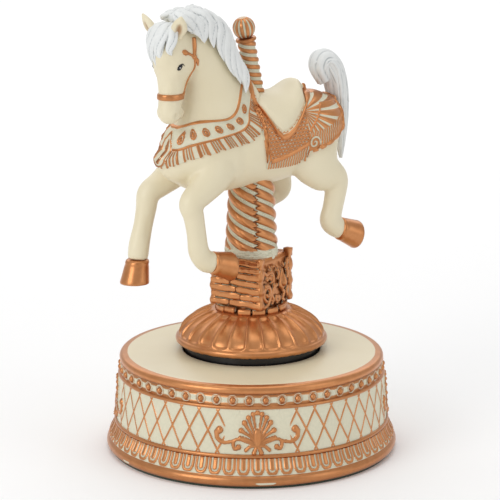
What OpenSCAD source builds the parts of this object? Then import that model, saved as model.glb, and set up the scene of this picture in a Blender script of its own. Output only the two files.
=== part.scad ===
// Carousel horse music box: a cast resin horse on a twisted column turns on
// top of a round base that holds a wind-up cylinder-and-comb movement.
// Millimetres, +Z up, origin at the centre of the underside.

/* [Base] */
// Height of the base drum at its rim, felt included
base_h = 42; // [40:0.5:60]
// Radius of the foot moulding
foot_r = 62.5; // [58:0.5:80]
// How far the lid edge stands in from the foot
top_inset = 7.2; // [4:0.2:9]
// Wall of the drum at its thinnest
base_wall = 5; // [3:0.5:6]
// Thickness of the lid
lid_t = 4.4; // [3:0.2:6]
// Rise of the lid from its rim to the turntable hole
lid_crown = 1.2; // [0:0.1:3]
// Radius of the turntable hole
hole_r = 29.4; // [26:0.2:36]
// Thickness of the felt ring under the foot
felt_t = 0.8; // [0.5:0.1:2]
// Depth of the key recess above the felt
recess_h = 9; // [8:0.2:12]
// Thickness of the bottom cover
cover_t = 2; // [1.5:0.1:3]

/* [Movement] */
// Thickness of the cast bedplate
bed_t = 1.8; // [1.5:0.1:2.5]
// Outer radius of the spring barrel
barrel_r = 11; // [10:0.5:11.5]
// Height of the spring barrel
barrel_h = 9; // [7:0.5:9.5]
// Radius of the key arbor
arbor_r = 2; // [1.5:0.1:2.5]
// Width across the wings of the winding key
key_w = 25; // [18:1:32]
// Radius of the pinned cylinder
cylinder_r = 6.3; // [5:0.1:6.5]
// Number of comb teeth
comb_teeth = 18; // [12:1:18]
// Radial play of a shaft in its hole
running_play = 0.05; // [0.02:0.01:0.1]
// Radius of the output spindle
spindle_r = 2.5; // [2:0.1:3]

/* [Turntable] */
// Gap between the hole and the turntable disc
disc_gap = 0.9; // [0.5:0.1:2]
// Height of the black disc that shows above the hole
disc_show = 3.4; // [2:0.2:6]
// Radius of the fluted dome
dome_r = 32.5; // [30:0.5:40]
// Height of the fluted dome
dome_h = 14.4; // [10:0.2:20]
// Number of flutes round the dome
dome_flutes = 30; // [16:1:40]

/* [Column] */
// Width of the square plinth
plinth_w = 23.6; // [20:0.2:26]
// Height of the plinth
plinth_h = 24; // [16:0.5:32]
// Number of stone courses in the plinth
plinth_courses = 7; // [4:1:9]
// Turn of the plinth about the column
plinth_turn = 35; // [0:1:90]
// Radius of the twisted column at its foot
column_r = 10.6; // [9:0.1:11.4]
// Radius of the twisted column at the belly
column_top_r = 8.6; // [7:0.1:10]
// Height of the column from the plinth to the belly
column_h = 29.5; // [24:0.5:40]
// Radius of the pole above the saddle
pole_r = 3.9; // [3:0.1:5]
// Forward lean of the pole above the saddle
pole_lean = 12; // [0:1:15]
// Height of the pole from the seat to its collar
pole_h = 24; // [20:0.5:34]
// Radius of the ball on the pole
ball_r = 4.8; // [4:0.1:6]

/* [Horse] */
// Heading of the horse about the column, from +X
horse_heading = 212; // [0:1:360]
// Scale of the horse about the foot of its belly
horse_scale = 1; // [0.8:0.02:1.25]
// Turn of the head towards the near side
head_turn = 24; // [0:1:30]
// Thickness of the harness and saddle cloth
tack_t = 1.1; // [0.8:0.1:1.6]

/* [Hidden] */

CREAM = "#e4dcc0";
COPPER = "#c98250";
WHITE = "#eceef2";
BLACK = "#17171a";
STEEL = "#b9bcc0";
BRASS = "#c8a24a";
ZINC = "#9a9c9e";

// heights, from the felt up
foot_z = felt_t;
cover_z = foot_z + recess_h;
bed_z = cover_z + cover_t;
floor_z = bed_z + bed_t;
lid_z = base_h + lid_crown;
dome_z = lid_z + disc_show;
plinth_z = dome_z + dome_h;
column_z = plinth_z + plinth_h;
horse_z = column_z + column_h;

// drum
top_r = foot_r - top_inset;
drum_low_r = foot_r - 4.2;
drum_high_r = top_r + 1.4;
cavity_r = top_r - base_wall;
cover_r = cavity_r + 1.6;
cover_play = 0.25;
boss_r = 4;
boss_at = cavity_r - 3.4;
boss_h = 8;
screw_r = 1.4;
screw_head_r = 2.6;
screw_head_h = 1.4;

// movement, on the axis and along +X from it
module_crown = 1;
crown_teeth = 28;
pinion_teeth = 12;
crown_pitch_r = module_crown * crown_teeth / 2;
pinion_pitch_r = module_crown * pinion_teeth / 2;
mesh_w = 1.6;
ratchet_teeth = 24;
ratchet_r = 7;
ratchet_t = 1.2;
ratchet_z = floor_z + 0.5;
barrel_z = ratchet_z + ratchet_t + 0.5;
barrel_wall = 0.8;
barrel_top = barrel_z + barrel_h;
axis_z = floor_z + 9;
crown_pitch_z = axis_z + pinion_pitch_r;
crown_z = crown_pitch_z + 1;
crown_t = 1.6;
crown_r = crown_pitch_r + 1.6;
hub_r = 5;
cyl_x = crown_pitch_r + 3.6;
cyl_len = 16;
post_t = 1.4;
post_in_x = cyl_x - 0.6 - post_t;
post_out_x = cyl_x + cyl_len + 0.8;
post_half = 3;
post_h = 11.6;
gear_x = post_out_x + post_t + 0.6;
gear_t = 1;
module_fine = 0.4;
gear_teeth = 30;
relay_teeth = 10;
gear_pitch_r = module_fine * gear_teeth / 2;
relay_pitch_r = module_fine * relay_teeth / 2;
relay_y = -(gear_pitch_r + relay_pitch_r);
relay_r = 0.8;
cyl_arbor_r = 1;
wheel_x = gear_x + gear_t + 1.6;
wheel_t = 1.2;
wheel_teeth = 20;
module_worm = 0.5;
wheel_pitch_r = module_worm * wheel_teeth / 2;
worm_pitch_r = 1.4;
worm_lead = PI * module_worm;
worm_x = wheel_x + wheel_t / 2;
worm_y = relay_y - wheel_pitch_r - worm_pitch_r;
worm_len = 9;
worm_shaft_r = 0.6;
fan_z = axis_z + 6.6;
fan_h = 4;
fan_r = 4.5;
governor_top = fan_z + fan_h + 1.4;
arm_t = 1.4;
end_post_x = wheel_x + wheel_t + 1;
bed_screw_at = [[-11, 12], [12, -14], [40, 8]];
pin_r = 0.25;
pin_h = 0.6;
comb_pitch = 0.85;
comb_gap_y = cylinder_r + pin_h + 0.15;
comb_t = 1.2;
comb_x = cyl_x + (cyl_len - comb_teeth * comb_pitch) / 2;
comb_back_y = comb_gap_y + 19;
comb_block_y = comb_gap_y + 13;
comb_screw_y = comb_gap_y + 16;
click_at = [-2.2, -ratchet_r - 5.2];
click_pin_r = 0.8;

// turntable
disc_r = hole_r - disc_gap;
disc_t = 2;
disc_skirt = 6;
disc_z = dome_z - disc_t;
disc_hub_z = crown_z + crown_t + 3;
disc_screw_at = 20;
insert_h = 6;
dome_low_r = dome_r - 1.2;
dome_top_r = plinth_w * 0.72;
groove_r = 1.2;

// horse pieces turn about the column and stand on its top, which sinks into the belly
column_sink = 5;
saddle_z = 37.5;
pole_seat = [-2.4, 0, saddle_z + 0.2];
$fn = 64;

function lerp(a, b, t) = a + (b - a) * t;
function unit(v) = v / norm(v);

// one span of a Catmull-Rom curve through four stations
function spline(a, b, c, d, t) =
    0.5 * (2 * b + (c - a) * t + (2 * a - 5 * b + 4 * c - d) * t * t
    + (3 * b - a - 3 * c + d) * t * t * t);

// stations [x, y, z, half width, half depth], filled in with cuts between each pair
function smooth(s, cuts) = [
    for (i = [0:len(s) - 2], k = [0:cuts - 1])
        spline(s[max(0, i - 1)], s[i], s[i + 1], s[min(len(s) - 1, i + 2)], k / cuts),
    s[len(s) - 1]
];

function place(s) = [s[0], s[1], s[2]];

// a closed form lofted through oval stations; side is the direction of the width
module loft(stations, sides = 16, cuts = 2, side = [0, 1, 0], grow = 0) {
    s = smooth(stations, cuts);
    n = len(s);
    points = [
        for (i = [0:n - 1])
            let (
                along = unit(place(s[min(n - 1, i + 1)]) - place(s[max(0, i - 1)])),
                across = unit(side - along * (side * along)),
                deep = cross(along, across)
            )
            for (k = [0:sides - 1])
                place(s[i])
                + across * (max(0.3, s[i][3] + grow) * cos(360 * k / sides))
                + deep * (max(0.3, s[i][4] + grow) * sin(360 * k / sides))
    ];
    polyhedron(points, concat(
        [[for (k = [0:sides - 1]) k]],
        [[for (k = [0:sides - 1]) n * sides - 1 - k]],
        [for (i = [0:n - 2], k = [0:sides - 1]) [
            i * sides + k,
            (i + 1) * sides + (k + 1) % sides,
            i * sides + (k + 1) % sides
        ]],
        [for (i = [0:n - 2], k = [0:sides - 1]) [
            i * sides + k,
            (i + 1) * sides + k,
            (i + 1) * sides + (k + 1) % sides
        ]]
    ));
}

// ---------- base ----------

// points on an arc about a centre
function arc(cx, cy, r, from, to, steps = 6) =
    [for (k = [0:steps]) let (a = from + (to - from) * k / steps) [cx + r * cos(a), cy + r * sin(a)]];

// outline of the drum, from the foot to the lid, read upwards
function drum_side() = concat(
    arc(foot_r - 2.4, foot_z + 2.3, 2.4, -70, 60),
    [[foot_r - 1, foot_z + 4.6], [foot_r - 1.6, foot_z + 5], [drum_low_r + 0.5, foot_z + 10.6]],
    arc(drum_low_r, foot_z + 11.8, 1, -60, 60, 4),
    [[drum_low_r, foot_z + 13], [drum_high_r, base_h - 9.2]],
    arc(drum_high_r - 0.4, base_h - 8.3, 0.8, -60, 60, 4),
    [[drum_high_r - 0.9, base_h - 7.4], [drum_high_r - 0.9, base_h - 3.8]],
    arc(top_r - 0.6, base_h - 1.9, 1.9, -70, 80, 5)
);

module base_shell() {
    color(CREAM) difference() {
        union() {
            rotate_extrude($fn = 128) polygon(concat(
                [[cover_r + cover_play, foot_z]],
                drum_side(),
                [[hole_r, lid_z], [hole_r, lid_z - lid_t], [cavity_r, base_h - lid_t],
                 [cavity_r, bed_z], [cover_r + cover_play, bed_z]]
            ));
            for (a = [45:90:315]) rotate(a) translate([boss_at, 0, bed_z])
                cylinder(r = boss_r, h = boss_h);
        }
        for (a = [45:90:315]) rotate(a) translate([boss_at, 0, bed_z - 1])
            cylinder(r = screw_r, h = boss_h - 1, $fn = 32);
    }
}

module felt_ring() {
    color("#3a3a3c") difference() {
        cylinder(r = foot_r - 2, h = felt_t, $fn = 128);
        translate([0, 0, -1]) cylinder(r = cover_r + 2, h = felt_t + 2, $fn = 128);
    }
}

module bottom_cover() {
    color(BLACK) difference() {
        translate([0, 0, cover_z]) cylinder(r = cover_r, h = cover_t, $fn = 128);
        translate([0, 0, cover_z - 1]) cylinder(r = arbor_r + 1.5, h = cover_t + 2);
        for (a = [45:90:315]) rotate(a) translate([boss_at, 0, cover_z - 1])
            cylinder(r = screw_r, h = cover_t + 2, $fn = 32);
        for (p = bed_screw_at) translate([p[0], p[1], cover_z - 1])
            cylinder(r = screw_r, h = cover_t + 2, $fn = 32);
    }
}

// a pan-head screw whose head bears on z = 0 from below and whose shank points up
module screw(length) {
    difference() {
        union() {
            translate([0, 0, -screw_head_h]) cylinder(r = screw_head_r, h = screw_head_h, $fn = 32);
            cylinder(r = screw_r, h = length, $fn = 32);
        }
        for (a = [0, 90]) rotate(a) translate([-1.6, -0.3, -screw_head_h - 1])
            cube([3.2, 0.6, 1.7]);
    }
}

module cover_screws() {
    color(STEEL) for (a = [45:90:315]) rotate(a) translate([boss_at, 0, cover_z])
        screw(cover_t + 5);
}

module movement_screws() {
    color(STEEL) for (p = bed_screw_at) translate([p[0], p[1], cover_z])
        screw(cover_t + bed_t);
}

// ---------- movement ----------

// a bearing post of the bedplate, square to X, from y0 to y1
module post(x, y0, y1) {
    translate([x, y0, floor_z - 0.2]) cube([post_t, y1 - y0, post_h + 0.2]);
}

module bedplate() {
    color(ZINC) difference() {
        union() {
            intersection() {
                translate([-16, -21, bed_z]) cube([62, 49, bed_t]);
                cylinder(r = cavity_r - 1.5, h = 40, $fn = 128);
            }
            post(post_in_x, -post_half, post_half);
            post(post_out_x, relay_y - post_half, post_half);
            post(end_post_x, relay_y - post_half, relay_y + post_half);
            translate([comb_x - 1.5, comb_block_y, floor_z - 0.2])
                cube([
                    comb_teeth * comb_pitch + 3,
                    comb_back_y - comb_block_y,
                    axis_z - floor_z + 0.2 - comb_t / 2
                ]);
            translate([click_at[0], click_at[1], floor_z - 0.2])
                cylinder(r = click_pin_r, h = ratchet_t + 0.9, $fn = 32);
        }
        translate([0, 0, bed_z - 1]) cylinder(r = arbor_r + running_play, h = bed_t + 2);
        for (p = bed_screw_at) translate([p[0], p[1], bed_z - 1])
            cylinder(r = screw_r, h = bed_t + 2, $fn = 32);
        translate([post_in_x - 1, 0, axis_z]) rotate([0, 90, 0])
            cylinder(r = cyl_arbor_r + running_play, h = gear_x - post_in_x + 0.8, $fn = 32);
        translate([post_out_x - 1, relay_y, axis_z]) rotate([0, 90, 0])
            cylinder(r = relay_r + running_play, h = 12, $fn = 32);
        comb_screw_places() translate([0, 0, -6]) cylinder(r = 0.9, h = 20, $fn = 32);
        translate([worm_x, worm_y, floor_z - 0.9]) cylinder(r = worm_shaft_r + running_play, h = 2, $fn = 32);
    }
}

module comb_screw_places() {
    for (k = [0.25, 0.75])
        translate([comb_x + comb_teeth * comb_pitch * k, comb_screw_y, axis_z - comb_t / 2])
            children();
}

// steel comb: each tooth is cut longer towards the bass end
module comb() {
    tooth_w = comb_pitch * 0.7;
    color(STEEL) difference() {
        union() {
            translate([comb_x, comb_gap_y + 11, axis_z - comb_t / 2])
                cube([comb_teeth * comb_pitch, comb_back_y - comb_gap_y - 11, comb_t]);
            for (i = [0:comb_teeth - 1])
                translate([comb_x + i * comb_pitch + (comb_pitch - tooth_w) / 2, comb_gap_y, axis_z - 0.3])
                    cube([tooth_w, 11.5, 0.6]);
            for (i = [0:comb_teeth - 1])
                translate([comb_x + i * comb_pitch + (comb_pitch - tooth_w) / 2,
                           comb_gap_y + 11 - 5 * i / comb_teeth, axis_z - comb_t / 2])
                    cube([tooth_w, 0.5 + 5 * i / comb_teeth, comb_t]);
        }
        comb_screw_places() translate([0, 0, -1]) cylinder(r = 1.1, h = comb_t + 2, $fn = 32);
    }
}

module comb_screws() {
    color(STEEL) comb_screw_places() {
        translate([0, 0, comb_t]) difference() {
            cylinder(r = 1.8, h = 1.1, $fn = 32);
            translate([-2, -0.25, 0.6]) cube([4, 0.5, 1]);
        }
        translate([0, 0, -5]) cylinder(r = 0.9, h = comb_t + 5.01, $fn = 32);
    }
}

module governor_bracket() {
    back_x = worm_x - fan_r - 3.6;
    reach = worm_x - back_x + 2;
    color(BRASS) difference() {
        union() {
            for (z = [floor_z, governor_top]) translate([back_x, worm_y - 2, z])
                cube([reach, 4, arm_t]);
            translate([back_x, worm_y - 2, floor_z]) cube([1.8, 4, governor_top - floor_z + arm_t]);
        }
        translate([worm_x, worm_y, floor_z - 1])
            cylinder(r = worm_shaft_r + running_play, h = governor_top, $fn = 32);
        translate([worm_x, worm_y, governor_top - 1])
            cylinder(r = worm_shaft_r + running_play, h = arm_t + 2, $fn = 32);
    }
}

// butterfly key: a threaded boss with two rounded wings
module winding_key() {
    key_top = cover_z - 0.6;
    wing_h = recess_h - 2.2;
    color(STEEL) difference() {
        union() {
            translate([0, 0, key_top - wing_h]) cylinder(r = arbor_r + 1.4, h = wing_h);
            for (m = [0, 180]) rotate(m) translate([0, -0.8, key_top - wing_h + 0.2])
                rotate([-90, 0, 0]) linear_extrude(1.6) intersection() {
                    translate([key_w / 2 - 5, -wing_h / 2 + 0.6])
                        scale([1.5, 1]) circle(r = wing_h / 2 - 0.4);
                    translate([arbor_r + 1, -wing_h]) square([key_w, wing_h * 2]);
                }
            for (m = [0, 180]) rotate(m) translate([arbor_r, -0.8, key_top - wing_h / 2 - 1.6])
                cube([key_w / 2 - 9, 1.6, 2.6]);
        }
        translate([0, 0, key_top - wing_h + 1]) cylinder(r = arbor_r, h = wing_h, $fn = 48);
    }
}

module key_arbor() {
    arbor_low = foot_z + 2.6;
    color(STEEL) translate([0, 0, arbor_low]) cylinder(r = arbor_r, h = barrel_top + 1.6 - arbor_low, $fn = 48);
}

// ratchet teeth: a steep face and a long back
function ratchet_outline() = [
    for (i = [0:ratchet_teeth - 1]) let (a = 360 * i / ratchet_teeth, p = 360 / ratchet_teeth)
        each [ratchet_r * [cos(a), sin(a)], (ratchet_r - 0.9) * [cos(a + p * 0.12), sin(a + p * 0.12)]]
];

module ratchet_wheel() {
    color(STEEL) translate([0, 0, ratchet_z]) linear_extrude(ratchet_t) difference() {
        polygon(ratchet_outline());
        circle(r = arbor_r, $fn = 48);
    }
}

// pawl on the bedplate: an eye, an arm and a nose that rests in a ratchet gap
module click() {
    gap = 14 * 360 / ratchet_teeth + 3.5;
    arm = unit(click_at - (ratchet_r - 0.65) * [cos(gap), sin(gap)]);
    across = [-arm[1], arm[0]] * 1.5;
    color(STEEL) translate([0, 0, ratchet_z]) difference() {
        union() {
            translate(click_at) cylinder(r = 1.9, h = ratchet_t, $fn = 32);
            linear_extrude(ratchet_t) polygon([
                (ratchet_r - 0.65) * [cos(gap), sin(gap)],
                (ratchet_r + 0.35) * [cos(gap + 10), sin(gap + 10)],
                click_at + across,
                click_at - across,
                (ratchet_r + 1.1) * [cos(gap - 1), sin(gap - 1)]
            ]);
        }
        translate([click_at[0], click_at[1], -1])
            cylinder(r = click_pin_r + running_play, h = ratchet_t + 2, $fn = 32);
    }
}

// spiral strip between the arbor and the barrel wall
module mainspring() {
    turns = 6;
    steps = turns * 20;
    strip = 0.45;
    r0 = arbor_r + 0.5;
    r1 = barrel_r - barrel_wall - strip - 0.15;
    function coil(k, off) =
        let (a = 360 * turns * k / steps, r = lerp(r0, r1, k / steps) + off) [r * cos(a), r * sin(a)];
    color("#6f7a86") translate([0, 0, barrel_z + 1.1]) linear_extrude(barrel_h - 2.2) polygon(concat(
        [for (k = [0:steps]) coil(k, 0)],
        [for (k = [0:steps]) coil(steps - k, strip)]
    ));
}

module spring_barrel() {
    color(BRASS) rotate_extrude($fn = 96) polygon([
        [barrel_r - barrel_wall, barrel_z], [barrel_r, barrel_z], [barrel_r, barrel_top],
        [hub_r, barrel_top], [hub_r, crown_z], [spindle_r, crown_z], [spindle_r, crown_z - 2.4],
        [0, crown_z - 2.4], [0, barrel_top + 1.8], [arbor_r + running_play, barrel_top + 1.8],
        [arbor_r + running_play, barrel_top - barrel_wall], [barrel_r - barrel_wall, barrel_top - barrel_wall]
    ]);
}

module barrel_lid() {
    color(BRASS) translate([0, 0, barrel_z]) difference() {
        cylinder(r = barrel_r - barrel_wall, h = barrel_wall, $fn = 96);
        translate([0, 0, -1]) cylinder(r = arbor_r + running_play, h = barrel_wall + 2, $fn = 48);
    }
}

// face gear: wedge teeth hang under a disc and mesh with the cylinder's pinion
module crown_wheel() {
    pitch = 360 / crown_teeth;
    tooth = 0.26 * pitch;
    low = crown_pitch_z - 0.8 * module_crown;
    color("#e9e6da") difference() {
        union() {
            translate([0, 0, crown_z]) cylinder(r = crown_r, h = crown_t, $fn = 96);
            for (i = [0:crown_teeth - 1]) rotate(i * pitch - tooth / 2) rotate_extrude(angle = tooth, $fn = 96)
                translate([crown_pitch_r - 1.5, low]) square([2.8, crown_z + 0.2 - low]);
        }
        translate([0, 0, crown_z - 1]) cylinder(r = spindle_r, h = crown_t + 2, $fn = 48);
    }
}

module output_spindle() {
    color(STEEL) translate([0, 0, crown_z - 2.4])
        cylinder(r = spindle_r, h = dome_z + insert_h - crown_z + 2.4, $fn = 48);
}

// spur teeth as plain trapezia with free play at the pitch line
function gear_outline(teeth, mod, thick = 0.4) =
    let (rp = teeth * mod / 2, p = 360 / teeth)
    [for (i = [0:teeth - 1]) let (a = i * p) each [
        (rp - 1.1 * mod) * [cos(a - p * (thick / 2 + 0.10)), sin(a - p * (thick / 2 + 0.10))],
        rp * [cos(a - p * thick / 2), sin(a - p * thick / 2)],
        (rp + 0.8 * mod) * [cos(a - p * thick * 0.22), sin(a - p * thick * 0.22)],
        (rp + 0.8 * mod) * [cos(a + p * thick * 0.22), sin(a + p * thick * 0.22)],
        rp * [cos(a + p * thick / 2), sin(a + p * thick / 2)],
        (rp - 1.1 * mod) * [cos(a + p * (thick / 2 + 0.10)), sin(a + p * (thick / 2 + 0.10))]
    ]];

// a spur gear about +X with a tooth pointing to angle start, seen from +X, zero at +Y
module x_gear(x, y, teeth, mod, width, bore, start, thick = 0.4) {
    translate([x, y, axis_z]) rotate([90, 0, 90]) linear_extrude(width) difference() {
        rotate(start) polygon(gear_outline(teeth, mod, thick));
        circle(r = bore, $fn = 32);
    }
}

module x_shaft(x0, x1, y, r) {
    translate([x0, y, axis_z]) rotate([0, 90, 0]) cylinder(r = r, h = x1 - x0, $fn = 32);
}

module cylinder_pinion() {
    color(BRASS) x_gear(crown_pitch_r - mesh_w / 2, 0, pinion_teeth, module_crown, mesh_w,
        cyl_arbor_r, 90 + 180 / pinion_teeth, 0.36);
}

module cylinder_arbor() {
    color(STEEL) x_shaft(crown_pitch_r - mesh_w / 2 - 0.4, gear_x + gear_t + 0.4, 0, cyl_arbor_r);
}

// brass cylinder with a helix-like scatter of tune pins, one or more under each comb tooth
module pinned_cylinder() {
    color(BRASS) translate([cyl_x, 0, axis_z]) rotate([0, 90, 0]) difference() {
        union() {
            cylinder(r = cylinder_r, h = cyl_len, $fn = 96);
            for (i = [0:comb_teeth - 1], k = [0:1])
                rotate(i * 137.5 + k * 151)
                    translate([cylinder_r - 0.4, 0, comb_x - cyl_x + (i + 0.5) * comb_pitch])
                    rotate([0, 90, 0]) cylinder(r = pin_r, h = pin_h + 0.4, $fn = 16);
        }
        translate([0, 0, -1]) cylinder(r = cyl_arbor_r, h = cyl_len + 2, $fn = 32);
    }
}

module cylinder_gear() {
    color(BRASS) x_gear(gear_x, 0, gear_teeth, module_fine, gear_t, cyl_arbor_r, 180, 0.38);
}

module relay_pinion() {
    color(STEEL) x_gear(gear_x - 0.2, relay_y, relay_teeth, module_fine, gear_t + 0.4, relay_r,
        180 / relay_teeth, 0.36);
}

module relay_arbor() {
    color(STEEL) x_shaft(post_out_x, end_post_x + post_t, relay_y, relay_r);
}

module worm_wheel() {
    color(BRASS) x_gear(wheel_x, relay_y, wheel_teeth, module_worm, wheel_t, relay_r, 180, 0.3);
}

// single-start worm: at rest the wheel's tooth lies half way between two turns of thread
module governor_worm() {
    turns = worm_len / worm_lead;
    low = axis_z - worm_len / 2;
    color(STEEL) translate([worm_x, worm_y, 0]) union() {
        translate([0, 0, floor_z - 0.7]) cylinder(r = worm_shaft_r, h = low - floor_z + 0.7, $fn = 32);
        translate([0, 0, low + worm_len])
            cylinder(r = worm_shaft_r, h = governor_top + arm_t - 0.1 - low - worm_len, $fn = 32);
        translate([0, 0, low]) rotate(-90 - 180 * turns)
            linear_extrude(worm_len, twist = -360 * turns, slices = round(turns * 12), segments = 1)
                translate([0.42, 0]) circle(r = 1.25, $fn = 14);
    }
}

// light two-bladed air brake
module governor_fan() {
    color("#e9e6da") translate([worm_x, worm_y, fan_z]) difference() {
        union() {
            cylinder(r = 1.3, h = fan_h, $fn = 32);
            translate([-fan_r, -0.3, 0]) cube([2 * fan_r, 0.6, fan_h]);
        }
        translate([0, 0, -1]) cylinder(r = worm_shaft_r, h = fan_h + 2, $fn = 32);
    }
}

// ---------- turntable and column ----------

module turntable_disc() {
    color(BLACK) difference() {
        rotate_extrude($fn = 128) polygon([
            [spindle_r, disc_hub_z], [hub_r + 1, disc_hub_z], [hub_r + 1, disc_z],
            [disc_r - 2, disc_z], [disc_r - 2, dome_z - disc_skirt], [disc_r, dome_z - disc_skirt],
            [disc_r, dome_z], [spindle_r, dome_z]
        ]);
        for (a = [30:120:270]) rotate(a) translate([disc_screw_at, 0, disc_z - 1])
            cylinder(r = screw_r, h = disc_t + 2, $fn = 32);
    }
}

module disc_screws() {
    color(STEEL) for (a = [30:120:270]) rotate(a) translate([disc_screw_at, 0, disc_z])
        screw(disc_t + 4);
}

// height of the dome's back over its rim, by radius
function dome_back(r) = let (t = (dome_low_r - r) / (dome_low_r - dome_top_r))
    3.6 + (dome_h - 4.6) * sin(90 * min(1, t));

module pedestal_dome() {
    color(COPPER) difference() {
        rotate_extrude($fn = 128) polygon(concat(
            [[0, dome_z]],
            arc(dome_r - 1.7, dome_z + 1.7, 1.7, -90, 90),
            [for (k = [0:8]) let (r = lerp(dome_low_r, dome_top_r, k / 8)) [r, dome_z + dome_back(r)]],
            [[dome_top_r - 1, plinth_z], [0, plinth_z]]
        ));
        dome_grooves();
        translate([0, 0, dome_z - 1]) cylinder(r = spindle_r, h = insert_h + 1, $fn = 48);
        for (a = [30:120:270]) rotate(a) translate([disc_screw_at, 0, dome_z - 1])
            cylinder(r = screw_r, h = 5, $fn = 32);
    }
}

// grooves between the lobes, from the rim to the foot of the plinth
module dome_grooves() {
    foot = [dome_low_r + 0.6, dome_z + 3.8];
    head = [dome_top_r + 1, plinth_z + 0.6];
    for (i = [0:dome_flutes - 1]) rotate(i * 360 / dome_flutes)
        translate([foot[0], 0, foot[1]])
            rotate([0, -atan2(foot[0] - head[0], head[1] - foot[1]), 0])
                cylinder(r = groove_r, h = norm(head - foot), $fn = 16);
}

module plinth() {
    course = (plinth_h - 2) / plinth_courses;
    color(COPPER) union() {
        rotate_extrude($fn = 96) polygon(concat(
            [[0, plinth_z]], arc(plinth_w * 0.66, plinth_z + 1.4, 1.4, -90, 90), [[0, plinth_z + 2.8]]
        ));
        rotate(270 - plinth_turn) for (i = [0:plinth_courses - 1]) {
            w = plinth_w - 0.9 * (i % 2) - (i == 0 ? 0 : 0.4);
            translate([-w / 2, -w / 2, plinth_z + 2 + i * course - 0.1]) cube([w, w, course + 0.1]);
        }
    }
}

// cross-section of a rope twist with a number of strands
module strands(count, r) {
    for (k = [0:count - 1]) rotate(360 * k / count) translate([r * 0.42, 0]) circle(r = r * 0.58, $fn = 13);
}

module lower_column() {
    color(COPPER) union() {
        translate([0, 0, column_z]) linear_extrude(
            column_h + column_sink, twist = 780, slices = 36, segments = 1, scale = column_top_r / column_r
        ) strands(3, column_r);
    }
}

// anything of the horse: turned to its heading, standing on the column
module on_column() {
    translate([0, 0, horse_z]) rotate(horse_heading) scale(horse_scale) children();
}

// a free-form piece of the horse, carved as one skin; a resize of zero keeps its size
module sculpted() { on_column() resize([0, 0, 0]) children(); }

module on_pole() {
    on_column() translate(pole_seat) rotate([0, pole_lean, 0]) children();
}

module upper_pole() {
    color(COPPER) on_pole()
        linear_extrude(pole_h, twist = 1080, slices = 44, segments = 1) strands(2, pole_r);
}

module pole_collar() {
    color(COPPER) on_pole() translate([0, 0, pole_h]) cylinder(r = pole_r + 0.5, h = 1.6);
}

module finial_ball() {
    color(COPPER) on_pole() translate([0, 0, pole_h + 1.6]) difference() {
        translate([0, 0, ball_r - 0.6]) sphere(r = ball_r);
        translate([-ball_r, -ball_r, -2]) cube([2 * ball_r, 2 * ball_r, 2]);
        for (a = [0:30:330]) rotate(a) translate([ball_r + 0.35, 0, -1])
            cylinder(r = 0.7, h = 2 * ball_r + 2, $fn = 16);
    }
}

// ---------- horse: x forward, y to its near side, z up from the belly ----------

function torso_line() = [
    [41, 0, 22, 2, 3], [39.5, 0, 21.5, 6.5, 8.5], [36, 0, 20, 11, 14], [29, 0, 19, 14.5, 18],
    [18, 0, 18.5, 16, 19.2], [6, 0, 18.6, 16.4, 18.6], [-8, 0, 18.6, 16.6, 18.4], [-20, 0, 20.2, 16.2, 17],
    [-30, 0, 22.6, 15.4, 15], [-37, 0, 24, 12.4, 12], [-41.5, 0, 24.5, 7.5, 7.5], [-43, 0, 24.5, 2.5, 2.5]
];
function neck_line() = [
    [17, 0, 20, 12, 20], [18, 0, 32, 12, 19.5], [20.4, 0.6, 43, 9.8, 15], [24.6, 1.8, 53.6, 8, 11.8],
    [30.8, 3, 62.6, 7.2, 9.8], [36.8, 3.8, 69, 5.6, 6.8]
];
function near_fore() = [
    [20, 8, 16, 7, 11], [26, 10.5, 9, 6.4, 8.4], [33, 11.6, 3, 5.4, 6.4], [38.4, 12, -1.6, 4.8, 4.9],
    [37, 12, -7, 4.2, 4.4], [35.6, 12, -15, 3.8, 4.2], [34.6, 12, -22, 4.2, 4.4],
    [31.6, 12, -26.4, 4.2, 4.6], [27.5, 12, -27.8, 4.4, 4.8]
];
function far_fore() = [
    [22, -8, 17, 7, 10], [31, -10.6, 8, 6.2, 7.2], [38, -11.6, 3, 5.4, 5.6], [43.6, -12, -0.6, 4.8, 4.9],
    [45, -12, -7, 4.3, 4.4], [46.6, -12, -14, 3.8, 4.2], [48.6, -12, -22, 4.2, 4.5],
    [49.4, -12, -28.4, 4.1, 4.4]
];
function near_hind() = [
    [-24, 7, 20, 9, 14], [-25, 10, 11, 7.5, 12.5], [-29, 11.4, 4.6, 6, 9.4], [-35, 12, 0.4, 5, 6],
    [-35.4, 12, -5, 4.3, 5], [-34, 12, -12, 4, 4.6], [-32.8, 12, -17.4, 4.4, 4.8],
    [-35.6, 12, -20.6, 4.3, 4.6], [-38.4, 12, -21.4, 4.3, 4.6]
];
function far_hind() = [
    [-22, -7, 19, 9, 13], [-20.5, -10, 8, 7.2, 10.5], [-21.6, -12, -0.5, 5.4, 7.4], [-24, -13.4, -7, 4.7, 5],
    [-19, -14.4, -10.4, 4.2, 4.4], [-14, -15, -13.4, 4.2, 4.4], [-10.6, -15.4, -16.6, 4.2, 4.3]
];

// the head hangs from the poll, turned towards the near side
head_at = [41.2, 4, 67.2];
module on_head() { translate(head_at) rotate(head_turn) rotate([0, 89, 0]) children(); }
function head_line() = [
    [-5, 0, 1, 4, 5], [-1, 0, 0, 6.6, 8.6], [6, 0, -0.6, 7.6, 10.2], [13, 0, 0, 7, 9],
    [19, 0, 1.4, 5.6, 6.8], [25, 0, 2, 4.8, 5.4], [30, 0, 2, 4.7, 5.1], [33.6, 0, 1.6, 4.3, 4.4],
    [35.4, 0, 1.2, 2.6, 2.8]
];

module torso(grow = 0) { loft(torso_line(), 16, 1, grow = grow); }
module neck(grow = 0) { loft(neck_line(), 16, 1, grow = grow); }
module head(grow = 0) { on_head() loft(head_line(), 12, 1, grow = grow); }

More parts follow.
